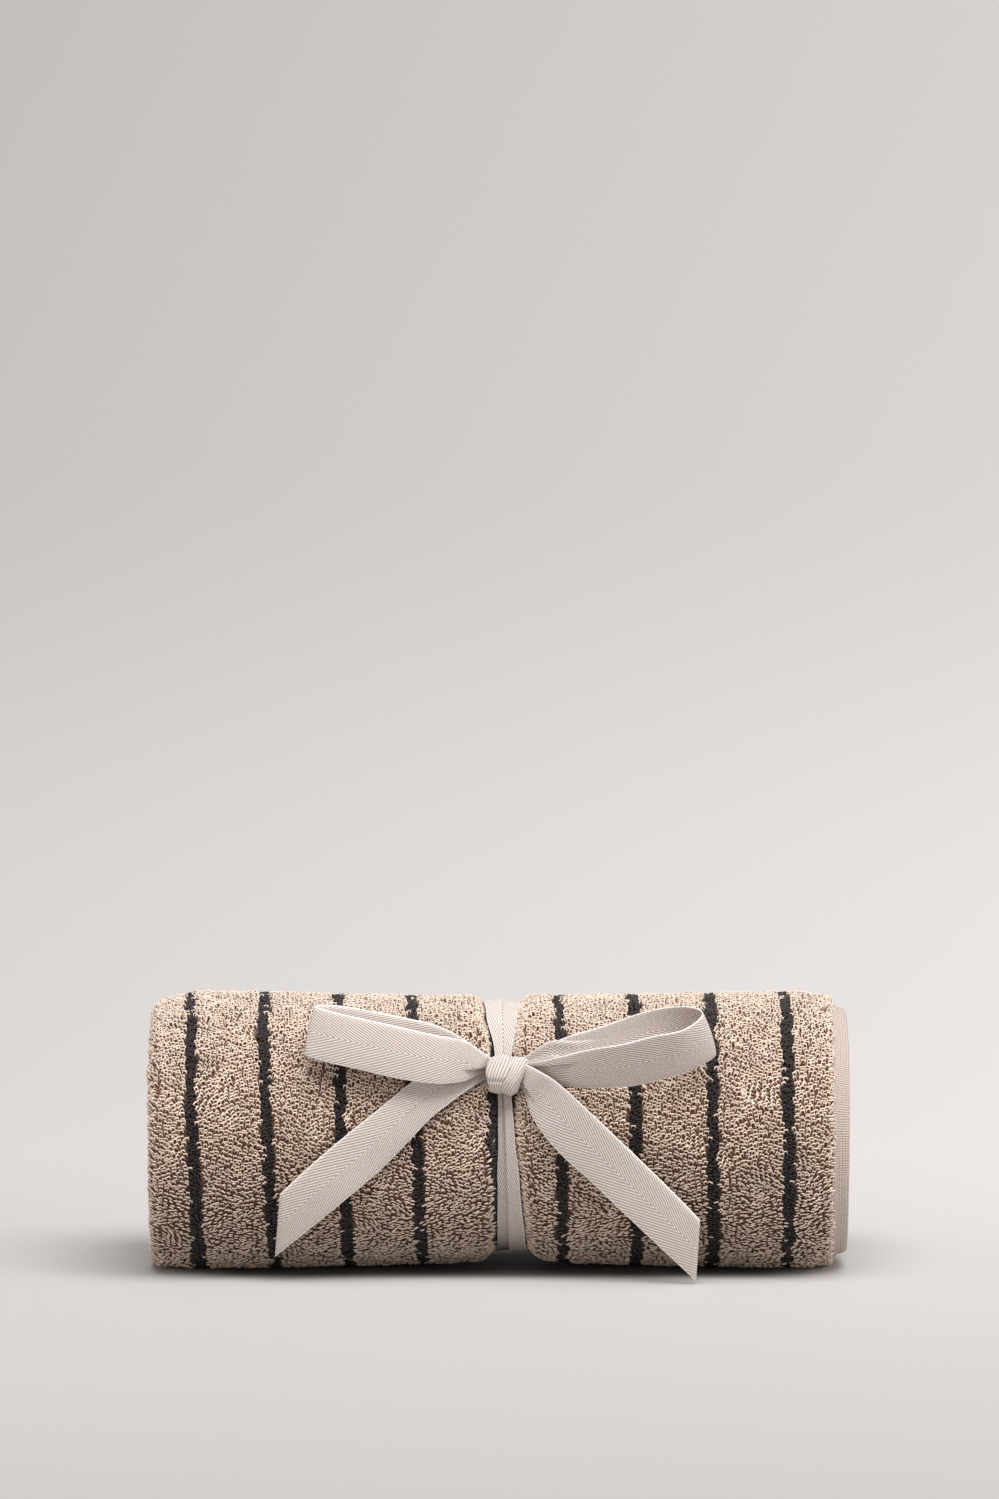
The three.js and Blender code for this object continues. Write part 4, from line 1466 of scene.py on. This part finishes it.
def dress(piece: Object) -> Object:
    """Make a piece ride on the part's body, and report it.

    Args:
        piece: The piece.

    Returns:
        The piece.
    """
    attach(piece, BODY)
    LOG.info("%s: %d faces", piece.name, len(piece.data.polygons))
    return piece


@dataclass
class RolledTowel:
    """The towel: its ground cloth and its pile, made as a few pieces of loops."""

    form: RollForm
    shift: Array
    sectors: tuple[tuple[str, float, float], ...] = (
        ("terry_under", 0.0, 285.0),
        ("terry_front", 285.0, 350.0),
        ("terry_brow", 350.0, 420.0),
        ("terry_top", 420.0, 490.0),
        ("terry_back", 490.0, 575.0),
    )
    hub: float = 41.0
    stripe_size: float = 0.82

    def build(self) -> None:
        """Build and dress the cloth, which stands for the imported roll, and its pile."""
        towel = TowelCloth(self.form)
        cloth = towel.ground().as_object("towel_cloth", self.shift, GroundFinish().material(towel))
        dress(cloth)
        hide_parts("towel_roll")
        pile = self.pile(LoopPile(self.form, towel))
        towel.width * MM

    def pile(self, pile: LoopPile) -> list[Object]:
        """Build and dress the loops: the sand ones by sectors of the skin, the stripes, and the ends.

        Args:
            pile: The pile's sizes.

        Returns:
            The pieces.
        """
        # The roots' colours are painted shade, darker than the crowns'.
        sand = YarnFinish("sand_loops", (0.30, 0.135, 0.058), (0.87, 0.69, 0.56), 0.5, 0.12).material()
        dark = YarnFinish("charcoal_loops", (0.01, 0.007, 0.007), (0.046, 0.035, 0.035), 0.15, 0.0).material()
        skin = pile.skin_feet().and_more(pile.wall_feet())
        striped = pile.striped(skin)
        shapes = {}
        turned = self.form.outermost(np.degrees(np.arctan2(skin.points[:, 2] - self.hub, -skin.points[:, 1])))
        for number, (name, low, high) in enumerate(self.sectors):
            inside = ~striped & (turned >= low) & (turned < high)
            shapes[name] = pile.loops(skin.taken(inside), pile.seed + 10 + number), sand
        shapes["terry_stripes"] = pile.loops(skin.taken(striped), pile.seed + 20, self.stripe_size), dark
        shapes["terry_ends"] = pile.loops(pile.end_feet(), pile.seed + 21), sand
        made = (shape.as_object(name, self.shift, finish) for name, (shape, finish) in shapes.items())
        return [dress(piece) for piece in made]


@dataclass
class TiedBow:
    """The tie: one length of herringbone tape."""

    form: RollForm
    shift: Array

    def build(self) -> None:
        """Build and dress the tape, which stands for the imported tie."""
        bow = TapeBow(self.form)
        tape = bow.whole().as_object("bow_tape", self.shift, TapeFinish().material())
        dress(tape)
        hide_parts("bow_tie")


def main() -> None:
    """Load the frame, then build the towel, the tie and the studio in order."""
    logging.basicConfig(level=logging.INFO, format="%(name)s: %(message)s")
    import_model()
    form = RollForm()
    shift = frame_shift(form)
    LOG.info("shift to the packed frame: %s mm", np.round(shift, 3))
    RolledTowel(form, shift).build()
    TiedBow(form, shift).build()
    studio = Studio(shift)
    studio.sweep()
    studio.lights()
    studio.camera()
    bpy.context.scene.view_settings.view_transform = "Standard"


if __name__ == "__main__":
    main()
